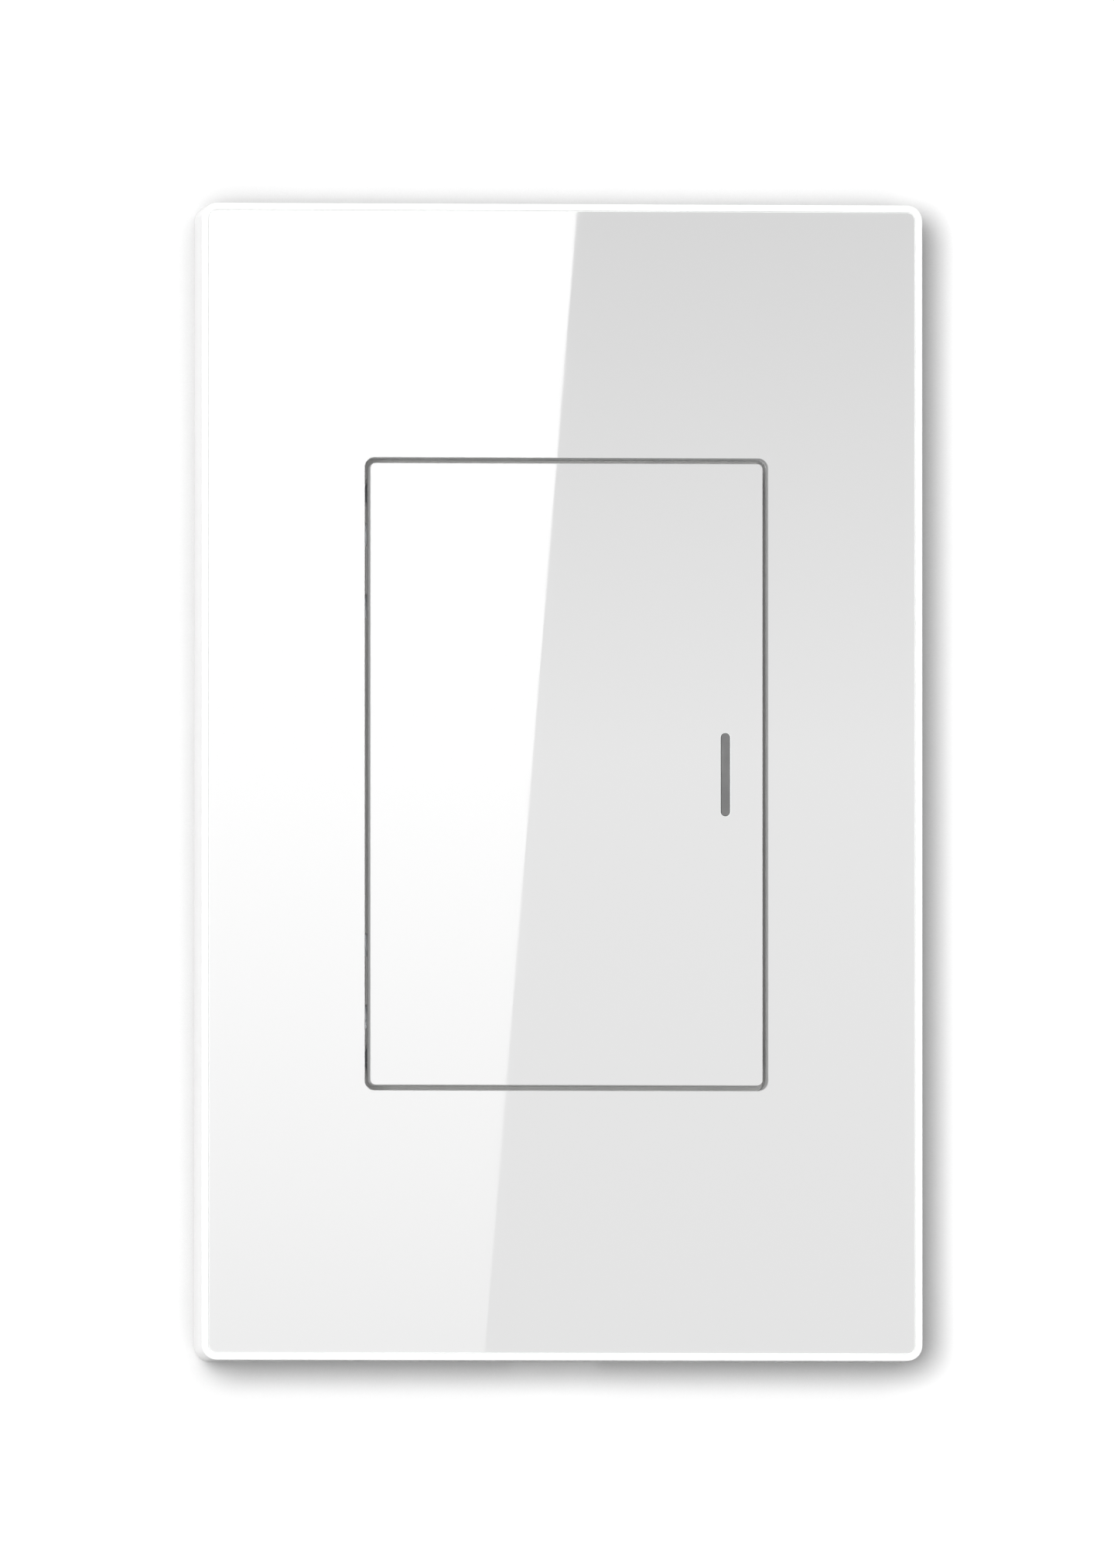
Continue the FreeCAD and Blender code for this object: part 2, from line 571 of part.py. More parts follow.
def add(body, axis, low, high, outlines):
    """Pad outlines along an axis from low to high."""
    sketch = new_sketch(body, axis, low, as_list(outlines))
    pad = body.newObject("PartDesign::Pad", body.Label + "_pad")
    pad.Profile = sketch
    pad.Reversed = axis == "Y"
    bind(pad, "Length", "(%s) - (%s)" % (high, low))
    sketch.Visibility = False
    return pad


def cut(body, axis, low, high, outlines):
    """Pocket outlines along an axis from low to high."""
    sketch = new_sketch(body, axis, low, as_list(outlines))
    pocket = body.newObject("PartDesign::Pocket", body.Label + "_pocket")
    pocket.Profile = sketch
    pocket.Reversed = axis != "Y"
    bind(pocket, "Length", "(%s) - (%s)" % (high, low))
    sketch.Visibility = False
    return pocket


def turn(body, points):
    """Revolve a half profile (radius, y) about the Y axis of the body."""
    sketch = new_sketch(body, "Z", "0", [polygon(*points)])
    feature = body.newObject("PartDesign::Revolution", body.Label + "_turn")
    feature.Profile = sketch
    feature.ReferenceAxis = (sketch, ["V_Axis"])
    feature.Angle = 360
    sketch.Visibility = False
    return feature


def edges_where(body, test):
    """Names of the edges of the present tip for which test is true."""
    doc.recompute()
    shape = body.Tip.Shape
    return ["Edge%d" % rank for rank, edge in enumerate(shape.Edges, start=1) if test(edge)]


def dress(body, kind, amount, test):
    """Chamfer or fillet the edges chosen by test."""
    names = edges_where(body, test)
    feature = body.newObject("PartDesign::" + kind, body.Label + "_" + kind.lower())
    feature.Base = (body.Tip, names) if feature != body.Tip else (body.Group[-2], names)
    bind(feature, "Size" if kind == "Chamfer" else "Radius", amount)
    return feature


def level(edge, y):
    """True when an edge lies in the plane at y, in body coordinates."""
    bounds = edge.BoundBox
    return abs(bounds.YMin - y) < 1e-6 and abs(bounds.YMax - y) < 1e-6


PARTS = {}


def keep(item, label=None):
    """Note a finished piece for export."""
    PARTS[label or item.Label] = item
    return item


def group(label, pieces):
    """Separate solids that share one file."""
    compound = doc.addObject("Part::Compound", label)
    compound.Label = label
    compound.Links = pieces
    return keep(compound)


def copies(label, source, places):
    """One solid repeated at bound places and kept under one name."""
    links = []
    for rank, place in enumerate(places, start=1):
        link = doc.addObject("App::Link", "%s_%d" % (label, rank))
        link.LinkedObject = source
        for axis, formula in zip("xyz", place):
            bind(link, "Placement.Base." + axis, formula)
        links.append(link)
    return group(label, links)


# Frame: glass, tape and moulding, all round the shifted frame centre
glass = new_body("frame_glass", "plate_shift_x", "glass_front_y", "plate_shift_z")
add(glass, "Y", "0", "glass_thick", [
    round_box("0", "0", "glass_width", "glass_height", "plate_radius - rim_width"),
    round_box("-plate_shift_x", "-plate_shift_z", "window_width", "window_height", "window_radius")])
dress(glass, "Chamfer", "glass_bevel", lambda edge: level(edge, 0))
keep(glass)

tape = new_body("frame_adhesive", "plate_shift_x", "glass_back_y", "plate_shift_z")
add(tape, "Y", "0", "tape_thick", [
    round_box("0", "0", "glass_width - 2 * tape_inset", "glass_height - 2 * tape_inset", "window_radius"),
    round_box("-plate_shift_x", "-plate_shift_z", "window_width + 2 * tape_inset",
              "window_height + 2 * tape_inset", "window_radius")])
keep(tape)

frame = new_body("frame_carrier", "plate_shift_x", "-plate_front", "plate_shift_z")
SEAT = "(seat_front_y + plate_front)"
SEAT_BACK = "(seat_back_y + plate_front)"
WINDOW = ("-plate_shift_x", "-plate_shift_z")
add(frame, "Y", "0", "plate_front", round_box("0", "0", "plate_width", "plate_height", "plate_radius"))
cut(frame, "Y", "0", SEAT, round_box("0", "0", "plate_width - 2 * rim_width",
                                     "plate_height - 2 * rim_width", "plate_radius - rim_width"))
cut(frame, "Y", SEAT_BACK, "plate_front",
    round_box("0", "0", "skirt_in_width", "skirt_in_height", "chassis_radius"))
add(frame, "Y", SEAT, "plate_front - flange_back",
    round_box(*WINDOW, "window_width + 2 * flange_wall", "window_height + 2 * flange_wall",
              "window_radius + flange_wall"))
ribs = []
for sign in ("", "-"):
    ribs.append(box("0", "%s(blade_z + frame_rib_beyond)" % sign, "skirt_in_width + rib_wall", "rib_wall"))
add(frame, "Y", SEAT, SEAT_BACK + " + frame_rib_deep", ribs)
ribs = []
for sign in ("", "-"):
    ribs.append(box("%s(window_width / 2 + plate_width / 2) / 2" % sign, "0", "rib_wall",
                    "2 * blade_z - 2 * blade_wide - pocket_wall"))
add(frame, "Y", SEAT, SEAT_BACK + " + frame_rib_deep", ribs)
add(frame, "Y", SEAT, "plate_front - blade_back",
    both(box, "blade_x", "blade_z", "blade_thick", "blade_wide"))
cut(frame, "Y", "0", "plate_front",
    round_box(*WINDOW, "window_width", "window_height", "window_radius"))
GROOVE = "plate_front - groove_back"
for sign in ("", "-"):
    for side in ("", "-"):
        edge = "%s(blade_x) %s blade_thick / 2" % (sign, "-" if side else "+")
        inner = "%s %s groove_deep" % (edge, "+" if side else "-")
        outer = "%s %s groove_deep" % (edge, "-" if side else "+")
        notch = polygon((outer, GROOVE + " - groove_half"), (outer, GROOVE + " + groove_half"),
                        (edge, GROOVE + " + groove_half"), (inner, GROOVE),
                        (edge, GROOVE + " - groove_half"))
        cut(frame, "Z", "-blade_z - blade_wide", "blade_z + blade_wide", notch)
cut(frame, "Y", "plate_front - notch_deep", "plate_front",
    box("0", "-plate_height / 2", "notch_width", "2 * skirt_wall + rib_wall"))
keep(frame)

# Key: glass, tape, light bar and moulding, round the key centre
key_glass = new_body("key_glass", "0", "glass_front_y", "0")
add(key_glass, "Y", "0", "glass_thick", [
    round_box("0", "0", "key_width", "key_height", "key_radius"),
    round_box("bar_x", "0", "bar_width", "bar_height", "bar_width / 2 - slot_flat")])
dress(key_glass, "Chamfer", "glass_bevel",
      lambda edge: level(edge, 0) and (edge.BoundBox.XMin < number("bar_x - bar_width")
                                       or edge.BoundBox.XMax > number("bar_x + bar_width")))
keep(key_glass)

tape = new_body("key_adhesive", "0", "glass_back_y", "0")
add(tape, "Y", "0", "tape_thick", [
    round_box("0", "0", "key_width - 2 * tape_inset", "key_height - 2 * tape_inset", "key_radius"),
    round_box("bar_x", "0", "bar_flange + 4 * bar_fit", "bar_flange_tall + 4 * bar_fit", "key_radius")])
keep(tape)

light = new_body("light_bar", "bar_x", "glass_front_y", "0")
FLANGE = "glass_thick + tape_thick + bar_seat_deep - bar_flange_thick"
add(light, "Y", FLANGE, FLANGE + " + bar_flange_thick",
    round_box("0", "0", "bar_flange", "bar_flange_tall", "key_radius"))
add(light, "Y", "0", FLANGE + " + bar_fit",
    round_box("0", "0", "bar_width - 2 * bar_fit", "bar_height - 2 * bar_fit",
              "bar_width / 2 - 2 * bar_fit"))
add(light, "Y", FLANGE, "glass_thick + tape_thick + seat_thick",
    round_box("0", "0", "bar_stem", "bar_height", "bar_stem / 2 - bar_fit"))
keep(light)

key = new_body("key_carrier", "0", "seat_front_y", "0")
AXIS_Y = "(-hinge_front - seat_front_y)"
add(key, "Y", "0", "seat_thick", round_box("0", "0", "key_width", "key_height", "key_radius"))
RIB_BACK = "seat_thick + key_rib_deep"
add(key, "Y", "seat_thick / 2", RIB_BACK, [
    box("0", "0", "key_width - 2 * key_rib_inset", "key_height - 2 * key_rib_inset"),
    box("0", "0", "key_width - 2 * key_rib_inset - 2 * rib_wall",
        "key_height - 2 * key_rib_inset - 2 * rib_wall")])
CROSS_LONG = "key_width - 2 * key_rib_inset - rib_wall"
add(key, "Y", "seat_thick / 2", RIB_BACK, above_below(box, "0", "key_rib_z", CROSS_LONG, "rib_wall"))
add(key, "Y", "seat_thick / 2", RIB_BACK, box("-key_rib_x", "0", "rib_wall",
                                              "key_height - 2 * key_rib_inset - rib_wall"))
cut(key, "Y", "seat_thick", RIB_BACK, above_below(
    box, "-hinge_x", "hinge_z", "2 * cup_half + 2 * hinge_slot_clear", "lug_gap"))
add(key, "Y", "seat_thick / 2", "-plunger_front - press_fit - seat_front_y",
    circle("-switch_x", "0", "boss_radius"))
LUG_MID = "(lug_gap + lug_thick) / 2"
lugs = []
for sign in ("", "-"):
    for side in ("+", "-"):
        middle = "%s(hinge_z) %s %s" % (sign, side, LUG_MID)
        lugs.append(box("-hinge_x", middle, "2 * lug_radius", "lug_thick"))
add(key, "Y", "seat_thick / 2", AXIS_Y, lugs)
for sign in ("", "-"):
    for side in ("+", "-"):
        start = "%s(hinge_z) %s %s - lug_thick / 2" % (sign, side, LUG_MID)
        add(key, "Z", start, start + " + lug_thick", circle("-hinge_x", AXIS_Y, "lug_radius"))
    start = "%s(hinge_z) - lug_gap / 2 - lug_thick / 2" % sign
    add(key, "Z", start, start + " + lug_gap + lug_thick", circle("-hinge_x", AXIS_Y, "pin_radius"))
BARB_FRONT = "(-chassis_front + ledge_thick + hook_fit - seat_front_y)"
STEM = "hook_thick / 2"
hook = polygon(("hook_x - " + STEM, "seat_thick / 2"), ("hook_x + " + STEM, "seat_thick / 2"),
               ("hook_x + " + STEM, BARB_FRONT), ("hook_x + " + STEM + " + hook_barb", BARB_FRONT),
               ("hook_x + " + STEM + " + hook_barb", BARB_FRONT + " + barb_edge"),
               ("hook_x + " + STEM, BARB_FRONT + " + hook_barb_deep"),
               ("hook_x - " + STEM, BARB_FRONT + " + hook_barb_deep"))
for sign in ("", "-"):
    start = "%s(hook_z) - hook_wide / 2" % sign
    add(key, "Z", start, start + " + hook_wide", hook)
cut(key, "Y", "0", "bar_seat_deep",
    round_box("bar_x", "0", "bar_flange + 2 * bar_fit", "bar_flange_tall + 2 * bar_fit", "key_radius"))
cut(key, "Y", "0", RIB_BACK,
    round_box("bar_x", "0", "bar_stem + 2 * bar_fit", "bar_height + 2 * bar_fit", "bar_stem / 2"))
keep(key)

# Chassis: carries the key, the clips and the control board
chassis = new_body("chassis", "0", "-chassis_front", "0")
BASE = "(chassis_front - yoke_thick)"
MID = "(chassis_front - yoke_thick) / 2"
OUT = ("plate_shift_x", "plate_shift_z")
CLIP_HALF = "(blade_thick / 2 + clip_gap + clip_strip)"


def round_frame(make, across, up, *rest):
    """The same outline at the four blade positions of the shifted frame."""
    return [make("plate_shift_x + %s(%s)" % (sx, across), "plate_shift_z + %s(%s)" % (sz, up), *rest)
            for sx in ("", "-") for sz in ("", "-")]


add(chassis, "Y", "0", BASE, round_box(*OUT, "chassis_width", "chassis_height", "chassis_radius"))
add(chassis, "Y", MID, "chassis_front", [
    round_box(*OUT, "chassis_width", "chassis_height", "chassis_radius"),
    round_box(*OUT, "chassis_width - 2 * chassis_rim", "chassis_height - 2 * chassis_rim",
              "chassis_radius / 2")])
add(chassis, "Y", MID, "chassis_front - locate_drop", both(
    box, "yoke_width / 2 + yoke_fit + rib_wall / 2", "yoke_window_tall / 2", "rib_wall", "access_wide"))
POCKET = ("2 * (%s + clip_bend_room + pocket_wall)" % CLIP_HALF,
          "clip_wide + 2 * clip_fit + 2 * pocket_wall")
add(chassis, "Y", "chassis_front - pocket_front", MID, round_frame(box, "blade_x", "blade_z", *POCKET))
cut(chassis, "Y", "chassis_front - pocket_front", "chassis_front - clip_hold", round_frame(
    box, "blade_x", "blade_z", "2 * (%s + clip_bend_room)" % CLIP_HALF, "clip_wide + 2 * clip_fit"))
cut(chassis, "Y", "chassis_front - pocket_front", "chassis_front - clip_back + clip_fit", round_frame(
    box, "blade_x", "blade_z", "2 * (%s + clip_fit)" % CLIP_HALF, "clip_wide + 2 * clip_fit"))
cut(chassis, "Y", "0", BASE, above_below(box, "0", "box_pitch / 2", "access_wide", "access_tall"))
cut(chassis, "Y", "0", BASE, above_below(circle, "0", "mount_z", "screw_radius + screw_clear"))
cut(chassis, "Y", "0", "screw_sink", above_below(circle, "0", "mount_z", "screw_head_radius + screw_clear"))
cut(chassis, "Y", "0", BASE, both(circle, "post_x", "post_z", "screw_radius + screw_clear"))
cut(chassis, "Y", "0", "screw_sink", both(circle, "post_x", "post_z", "screw_head_radius + screw_clear"))
cut(chassis, "Y", "0", BASE, [
    box("-switch_x", "0", "switch_hole", "switch_hole"),
    box("bar_x", "0", "baffle_wide + 2 * baffle_clear", "baffle_tall + 2 * baffle_clear"),
    circle("-ground_x", "-ground_z", "ground_radius + 2 * screw_clear")])
lug_windows = []
for sign in ("", "-"):
    for side in ("+", "-"):
        middle = "%s(hinge_z) %s (cup_wide / 2 + pin_fit + lug_window / 2)" % (sign, side)
        lug_windows.append(box("-hinge_x", middle, "2 * lug_radius + 2 * hinge_slot_clear", "lug_window"))
cut(chassis, "Y", "0", BASE, lug_windows)
CUP_FRONT = "chassis_front - hinge_front - cup_lip"
add(chassis, "Y", CUP_FRONT, MID, above_below(box, "-hinge_x", "hinge_z", "2 * cup_half", "cup_wide"))
for sign in ("", "-"):
    start = "%s(hinge_z) - cup_wide / 2 - pin_fit" % sign
    cut(chassis, "Z", start, start + " + cup_wide + 2 * pin_fit",
        circle("-hinge_x", "chassis_front - hinge_front", "pin_radius + pin_fit"))
HOOK_EDGE = "(hook_x + hook_thick / 2 + hook_room)"
HOOK_ROOM = "(hook_barb + hook_thick + 2 * hook_room)"
cut(chassis, "Y", "0", BASE, above_below(
    box, HOOK_EDGE + " - " + HOOK_ROOM + " / 2", "hook_z", HOOK_ROOM, "hook_wide + hook_room"))
cut(chassis, "Y", "ledge_thick", BASE, above_below(
    box, HOOK_EDGE + " + hook_barb / 2", "hook_z", "hook_barb", "hook_wide + hook_room"))
cut(chassis, "Y", "0", "pad_sink", above_below(circle, "pad_x", "pad_z", "pad_radius + pin_fit"))
add(chassis, "Y", MID, "chassis_front + board_front",
    both(box, "stake_x", "stake_z", "stake_post", "stake_post"))
add(chassis, "Y", MID, "chassis_front + board_back + stake_head_tall / 2",
    both(circle, "stake_x", "stake_z", "stake_radius"))
add(chassis, "Y", "chassis_front + board_back", "chassis_front + board_back + stake_head_tall",
    both(circle, "stake_x", "stake_z", "stake_head"))
add(chassis, "Y", MID, "chassis_front + power_front",
    above_below(box, "0", "push_z", "push_side", "push_side"))
add(chassis, "Y", "-leaf_strip - stake_head_tall / 2", MID,
    above_below(circle, "leaf_pin", "leaf_z", "stake_radius"))
add(chassis, "Y", "-leaf_strip - stake_head_tall", "-leaf_strip",
    above_below(circle, "leaf_pin", "leaf_z", "stake_head"))
keep(chassis)

# Yoke: steel strap that meets the wall box
yoke = new_body("yoke", "0", "-yoke_thick", "0")
add(yoke, "Y", "0", "yoke_thick", [
    round_box("0", "0", "yoke_width", "yoke_height", "yoke_radius"),
    round_box("0", "0", "yoke_window_wide", "yoke_window_tall", "yoke_window_radius")])
cut(yoke, "Y", "0", "yoke_thick", above_below(
    round_box, "0", "box_pitch / 2", "2 * box_slot_radius", "box_slot_long", "box_slot_radius - slot_flat"))
cut(yoke, "Y", "0", "yoke_thick", above_below(circle, "0", "mount_z", "screw_radius + thread_fit")
    + both(circle, "post_x", "post_z", "screw_radius + screw_clear")
    + [circle("-ground_x", "-ground_z", "ground_radius + thread_fit")])
keep(yoke)


def cross(across, up):
    """Cross recess of a screw head, as one closed shape."""
    w = "cross_wide / 2"
    n = "cross_long / 2"
    spots = [(w, n), (w, w), (n, w), (n, "-" + w), (w, "-" + w), (w, "-" + n),
             ("-" + w, "-" + n), ("-" + w, "-" + w), ("-" + n, "-" + w), ("-" + n, w),
             ("-" + w, w), ("-" + w, n)]
    return polygon(*[("%s + %s" % (across, x), "%s + %s" % (up, z)) for x, z in spots])


def screw(label, sizes, from_behind=False, place=("0", "0", "0")):
    """Cross recess screw along Y with its head seat at the body origin."""
    radius, head_radius, head_tall, length = sizes
    head_top = "-(%s)" % head_tall
    spans = [(head_top, "0"), ("0", length), (head_top, "cross_deep - (%s)" % head_tall)]
    if from_behind:
        spans = [("-(%s)" % high, "-(%s)" % low) for low, high in spans]
    body = new_body(label, *place)
    add(body, "Y", *spans[0], circle("0", "0", head_radius))
    add(body, "Y", *spans[1], circle("0", "0", radius))
    cut(body, "Y", *spans[2], cross("0", "0"))
    return body


HEAD_SEAT = "-chassis_front + screw_sink"
SMALL = ("screw_radius", "screw_head_radius", "screw_head_tall")
short_screw = screw("chassis_screw", (*SMALL, "mount_screw_long"))
copies("chassis_screws", short_screw, [("0", HEAD_SEAT, "%smount_z" % sign) for sign in ("", "-")])
long_screw = screw("housing_screw", (*SMALL, "screw_long"))
copies("housing_screws", long_screw, [("%spost_x" % sx, HEAD_SEAT, "%spost_z" % sz)
                                      for sx in ("", "-") for sz in ("", "-")])
keep(screw("ground_screw", ("ground_radius", "ground_head_radius", "ground_head_tall", "ground_long"),
           from_behind=True, place=("-ground_x", "0", "-ground_z")))

# Spring clips that hold the frame blades
clip = new_body("frame_clip")
INNER = "(blade_thick / 2 + clip_gap)"
APEX = "(blade_thick / 2 - groove_deep + clip_gap)"
BUMP = "(groove_half + clip_flare)"
outer_leg = [(CLIP_HALF + " + clip_flare", "-clip_front"), (CLIP_HALF, "-clip_front + clip_lead"),
             (CLIP_HALF, "-groove_back - " + BUMP), (APEX + " + clip_strip", "-groove_back"),
             (CLIP_HALF, "-groove_back + " + BUMP), (CLIP_HALF, "-clip_back")]
inner_leg = [(INNER, "-clip_back - clip_strip"), (INNER, "-groove_back + " + BUMP), (APEX, "-groove_back"),
             (INNER, "-groove_back - " + BUMP), (INNER, "-clip_front + clip_lead"),
             (INNER + " + clip_flare", "-clip_front")]
loop = ([(x, y) for x, y in outer_leg]
        + [("-(%s)" % x, y) for x, y in reversed(outer_leg)]
        + [("-(%s)" % x, y) for x, y in reversed(inner_leg)]
        + [(x, y) for x, y in inner_leg])
add(clip, "Z", "-clip_wide / 2", "clip_wide / 2", polygon(*loop))
copies("frame_clips", clip, [("plate_shift_x + %sblade_x" % sx, "0", "plate_shift_z + %sblade_z" % sz)
                             for sx in ("", "-") for sz in ("", "-")])

# Return springs and stop pads under the pressed side of the key
leaf = new_body("key_spring")
FOOT_Y = "(-chassis_front - leaf_strip)"
CREST_Y = "(seat_back_y + leaf_gap)"
add(leaf, "Z", "-leaf_wide / 2", "leaf_wide / 2", polygon(
    ("leaf_foot", "-chassis_front"), ("leaf_foot", FOOT_Y), ("leaf_bend", FOOT_Y), ("leaf_crest", CREST_Y),
    ("leaf_tip", CREST_Y + " + leaf_drop"), ("leaf_tip", CREST_Y + " + leaf_drop + leaf_strip"),
    ("leaf_crest", CREST_Y + " + leaf_strip"), ("leaf_bend + leaf_strip / 2", "-chassis_front")))
cut(leaf, "Y", FOOT_Y, "-chassis_front", circle("leaf_pin", "0", "stake_radius + stake_fit"))
copies("key_springs", leaf, [("0", "0", "%sleaf_z" % sign) for sign in ("", "-")])

pad = new_body("stop_pad")
add(pad, "Y", "-pad_front", "-chassis_front + pad_sink", circle("0", "0", "pad_radius"))
dress(pad, "Chamfer", "small_bevel", lambda edge: level(edge, -number("pad_front")))
copies("stop_pads", pad, [("pad_x", "0", "%spad_z" % sign) for sign in ("", "-")])

# Momentary switch below the presser boss
switch_at = ("-switch_x", "board_front - switch_tall", "0")
base = new_body("switch_base", *switch_at)
NECK = "switch_side - 2 * cover_thick"
add(base, "Y", "cover_thick", "switch_tall", box("0", "0", NECK, NECK))
add(base, "Y", "cover_drop + cover_thick", "switch_tall", box("0", "0", "switch_side", "switch_side"))
cut(base, "Y", "cover_thick", "-board_front + switch_tall - plunger_room",
    circle("0", "0", "plunger_radius + plunger_fit"))
keep(base)

cover = new_body("switch_cover", *switch_at)
add(cover, "Y", "0", "cover_drop", box("0", "0", "switch_side", "switch_side"))
cut(cover, "Y", "cover_thick", "cover_drop", box("0", "0", NECK, NECK))
cut(cover, "Y", "0", "cover_thick", circle("0", "0", "plunger_radius + plunger_fit"))
keep(cover)

plunger = new_body("switch_plunger", "-switch_x", "-plunger_front", "0")
add(plunger, "Y", "0", "plunger_front - plunger_back", circle("0", "0", "plunger_radius"))
dress(plunger, "Chamfer", "glass_bevel", lambda edge: level(edge, 0))
keep(plunger)

# Control board with lamps, light tube, radio and socket
board = new_body("control_board", "0", "board_front", "0")
add(board, "Y", "0", "board_thick", box("0", "0", "board_width", "board_height"))
cut(board, "Y", "0", "board_thick", both(circle, "stake_x", "stake_z", "stake_radius + stake_fit"))
keep(board)

lamp = new_body("indicator_led")
add(lamp, "Y", "-led_thick", "0", box("0", "0", "led_wide", "led_tall"))
copies("indicator_leds", lamp, [("bar_x", "board_front", "%sled_z" % sign) for sign in ("", "-")])

baffle = new_body("led_baffle", "bar_x", "-baffle_front", "0")
add(baffle, "Y", "0", "baffle_front + board_front", [
    round_box("0", "0", "baffle_wide", "baffle_tall", "baffle_wall / 2"),
    box("0", "0", "baffle_wide - 2 * baffle_wall", "baffle_tall - 2 * baffle_wall")])
keep(baffle)

radio = new_body("radio_module", "radio_x", "board_back", "radio_z")
add(radio, "Y", "0", "radio_thick", box("0", "0", "radio_wide", "radio_tall"))
keep(radio)

shield = new_body("radio_shield", "radio_x", "board_back + radio_thick",
                  "radio_z - (radio_tall - shield_tall) / 2 + shield_inset")
add(shield, "Y", "0", "shield_deep", round_box("0", "0", "shield_wide", "shield_tall", "shield_round"))
cut(shield, "Y", "0", "shield_deep - shield_sheet",
    box("0", "0", "shield_wide - 2 * shield_sheet", "shield_tall - 2 * shield_sheet"))
keep(shield)


def header_row(grow):
    """Square outlines of the header pins, grown by a fit on every side."""
    side = "pin_wide + 2 * (%s)" % grow
    last = int(number("header_pins")) - 1
    return [box("%s * header_pitch" % (rank - last / 2), "0", side, side) for rank in range(last + 1)]


ROW = "header_pins * header_pitch"
socket = new_body("header_socket", "0", "board_back", "header_z")
add(socket, "Y", "0", "socket_deep", box("0", "0", ROW, "header_wide"))
cut(socket, "Y", "socket_floor", "socket_deep", header_row("pin_hole_fit"))
keep(socket)

header = new_body("board_header", "0", "power_front - header_base", "header_z")
add(header, "Y", "0", "header_base", box("0", "0", ROW, "header_wide"))
SOCKET_END = "(board_back + socket_deep - power_front + header_base)"
add(header, "Y", SOCKET_END + " - pin_reach", "header_base + board_thick + pin_tail", header_row("0"))
keep(header)

# Power board and the parts soldered to it
POLES = ["%s * pole_pitch" % rank for rank in (-1, 0, 1)]
TAIL_Z = "tail_high - tail_thick / 2"
power = new_body("power_board", "0", "power_front", "0")
add(power, "Y", "0", "board_thick", box("0", "0", "power_width", "power_height"))
cut(power, "Y", "0", "board_thick", both(
    box, "(power_notch_x + power_width) / 2", "(power_notch_z + power_height) / 2",
    "power_width - power_notch_x", "power_height - power_notch_z"))
cut(power, "Y", "0", "board_thick",
    [Outline(draw_box, item.formulas[0], "header_z", *item.formulas[2:])
     for item in header_row("pin_hole_fit")]
    + [box(pole, TAIL_Z, "2 * tail_half + 2 * tail_fit", "tail_thick + 2 * tail_fit") for pole in POLES])
keep(power)

relay = new_body("relay", "relay_x", "power_back", "relay_z")
add(relay, "Y", "0", "relay_deep", round_box("0", "0", "relay_wide", "relay_tall", "relay_radius"))
dress(relay, "Chamfer", "small_bevel", lambda edge: level(edge, number("relay_deep")))
keep(relay)

core = new_body("transformer_core", "coil_x", "power_back", "coil_z")
WINDOW_MID = "(core_wide / 2 - core_leg + core_mid / 2) / 2"
WINDOW_WIDE = "core_wide / 2 - core_leg - core_mid / 2"
add(core, "Z", "-core_tall / 2", "core_tall / 2",
    [box("0", "core_deep / 2", "core_wide", "core_deep")]
    + [box("%s%s" % (sign, WINDOW_MID), "core_deep / 2", WINDOW_WIDE, "core_deep - 2 * core_leg")
       for sign in ("", "-")])
keep(core)

winding = new_body("transformer_winding", "coil_x", "power_back + core_leg + winding_fit", "coil_z")
add(winding, "Y", "0", "core_deep - 2 * core_leg - 2 * winding_fit", [
    round_box("0", "0", "core_wide - 2 * core_leg - 2 * winding_fit", "core_tall + 2 * winding_over",
              "winding_over / 2"),
    box("0", "0", "core_mid + 2 * winding_fit", "core_tall + 2 * winding_fit")])
keep(winding)

film = new_body("filter_capacitor", "film_x", "power_back", "film_z")
add(film, "Y", "0", "film_deep", round_box("0", "0", "film_wide", "film_tall", "film_radius"))
dress(film, "Chamfer", "small_bevel", lambda edge: level(edge, number("film_deep")))
keep(film)

can = new_body("bulk_capacitor")
turn(can, [("0", "0"), ("can_radius", "0"), ("can_radius", "can_deep - small_bevel"),
           ("can_radius - small_bevel", "can_deep"), ("0", "can_deep")])
copies("bulk_capacitors", can, [(across, "power_back", "can_z") for across in ("can_x", "can_x + can_pitch")])

disc = new_body("varistor", "varistor_x", "power_back", "varistor_z")
add(disc, "Z", "-varistor_thick / 2", "varistor_thick / 2",
    circle("0", "varistor_radius + lead_side / 2", "varistor_radius"))
add(disc, "Y", "0", "varistor_radius",
    [box("%s(varistor_radius / 2)" % sign, "0", "lead_side", "lead_side") for sign in ("", "-")])
keep(disc)

fuse = new_body("fuse_resistor", "fuse_x", "power_back", "fuse_z")
add(fuse, "X", "-fuse_long / 2", "fuse_long / 2", circle("fuse_radius", "0", "fuse_radius"))
keep(fuse)

# Terminals: block, contact bars, captive screws and rising clamps
block = new_body("terminal_block", "0", "power_back", "0")
add(block, "Y", "0", "block_back - power_back",
    box("0", "(block_low + block_high) / 2", "block_wide", "block_high - block_low"))
cut(block, "Y", "0", "cavity_back - power_back",
    [box(pole, "(cavity_low + cavity_high) / 2", "2 * cavity_half", "cavity_high - cavity_low")
     for pole in POLES])
cut(block, "Y", "cavity_back - power_back", "shoulder_back - power_back",
    [circle(pole, "pole_z", "clamp_screw_radius + screw_clear") for pole in POLES])
cut(block, "Y", "shoulder_back - power_back", "block_back - power_back",
    [circle(pole, "pole_z", "clamp_head_radius + head_clear") for pole in POLES])
BAR_SLOT = ("(bar_front + bar_back) / 2 - power_back", "2 * bar_half + 2 * bar_slot_fit",
            "bar_back - bar_front + 2 * bar_slot_fit")
cut(block, "Z", "cavity_low - bar_seat", "block_high", [box(pole, *BAR_SLOT) for pole in POLES])
ENTRY = ("(entry_front + entry_back) / 2", "2 * entry_half", "entry_back - entry_front")
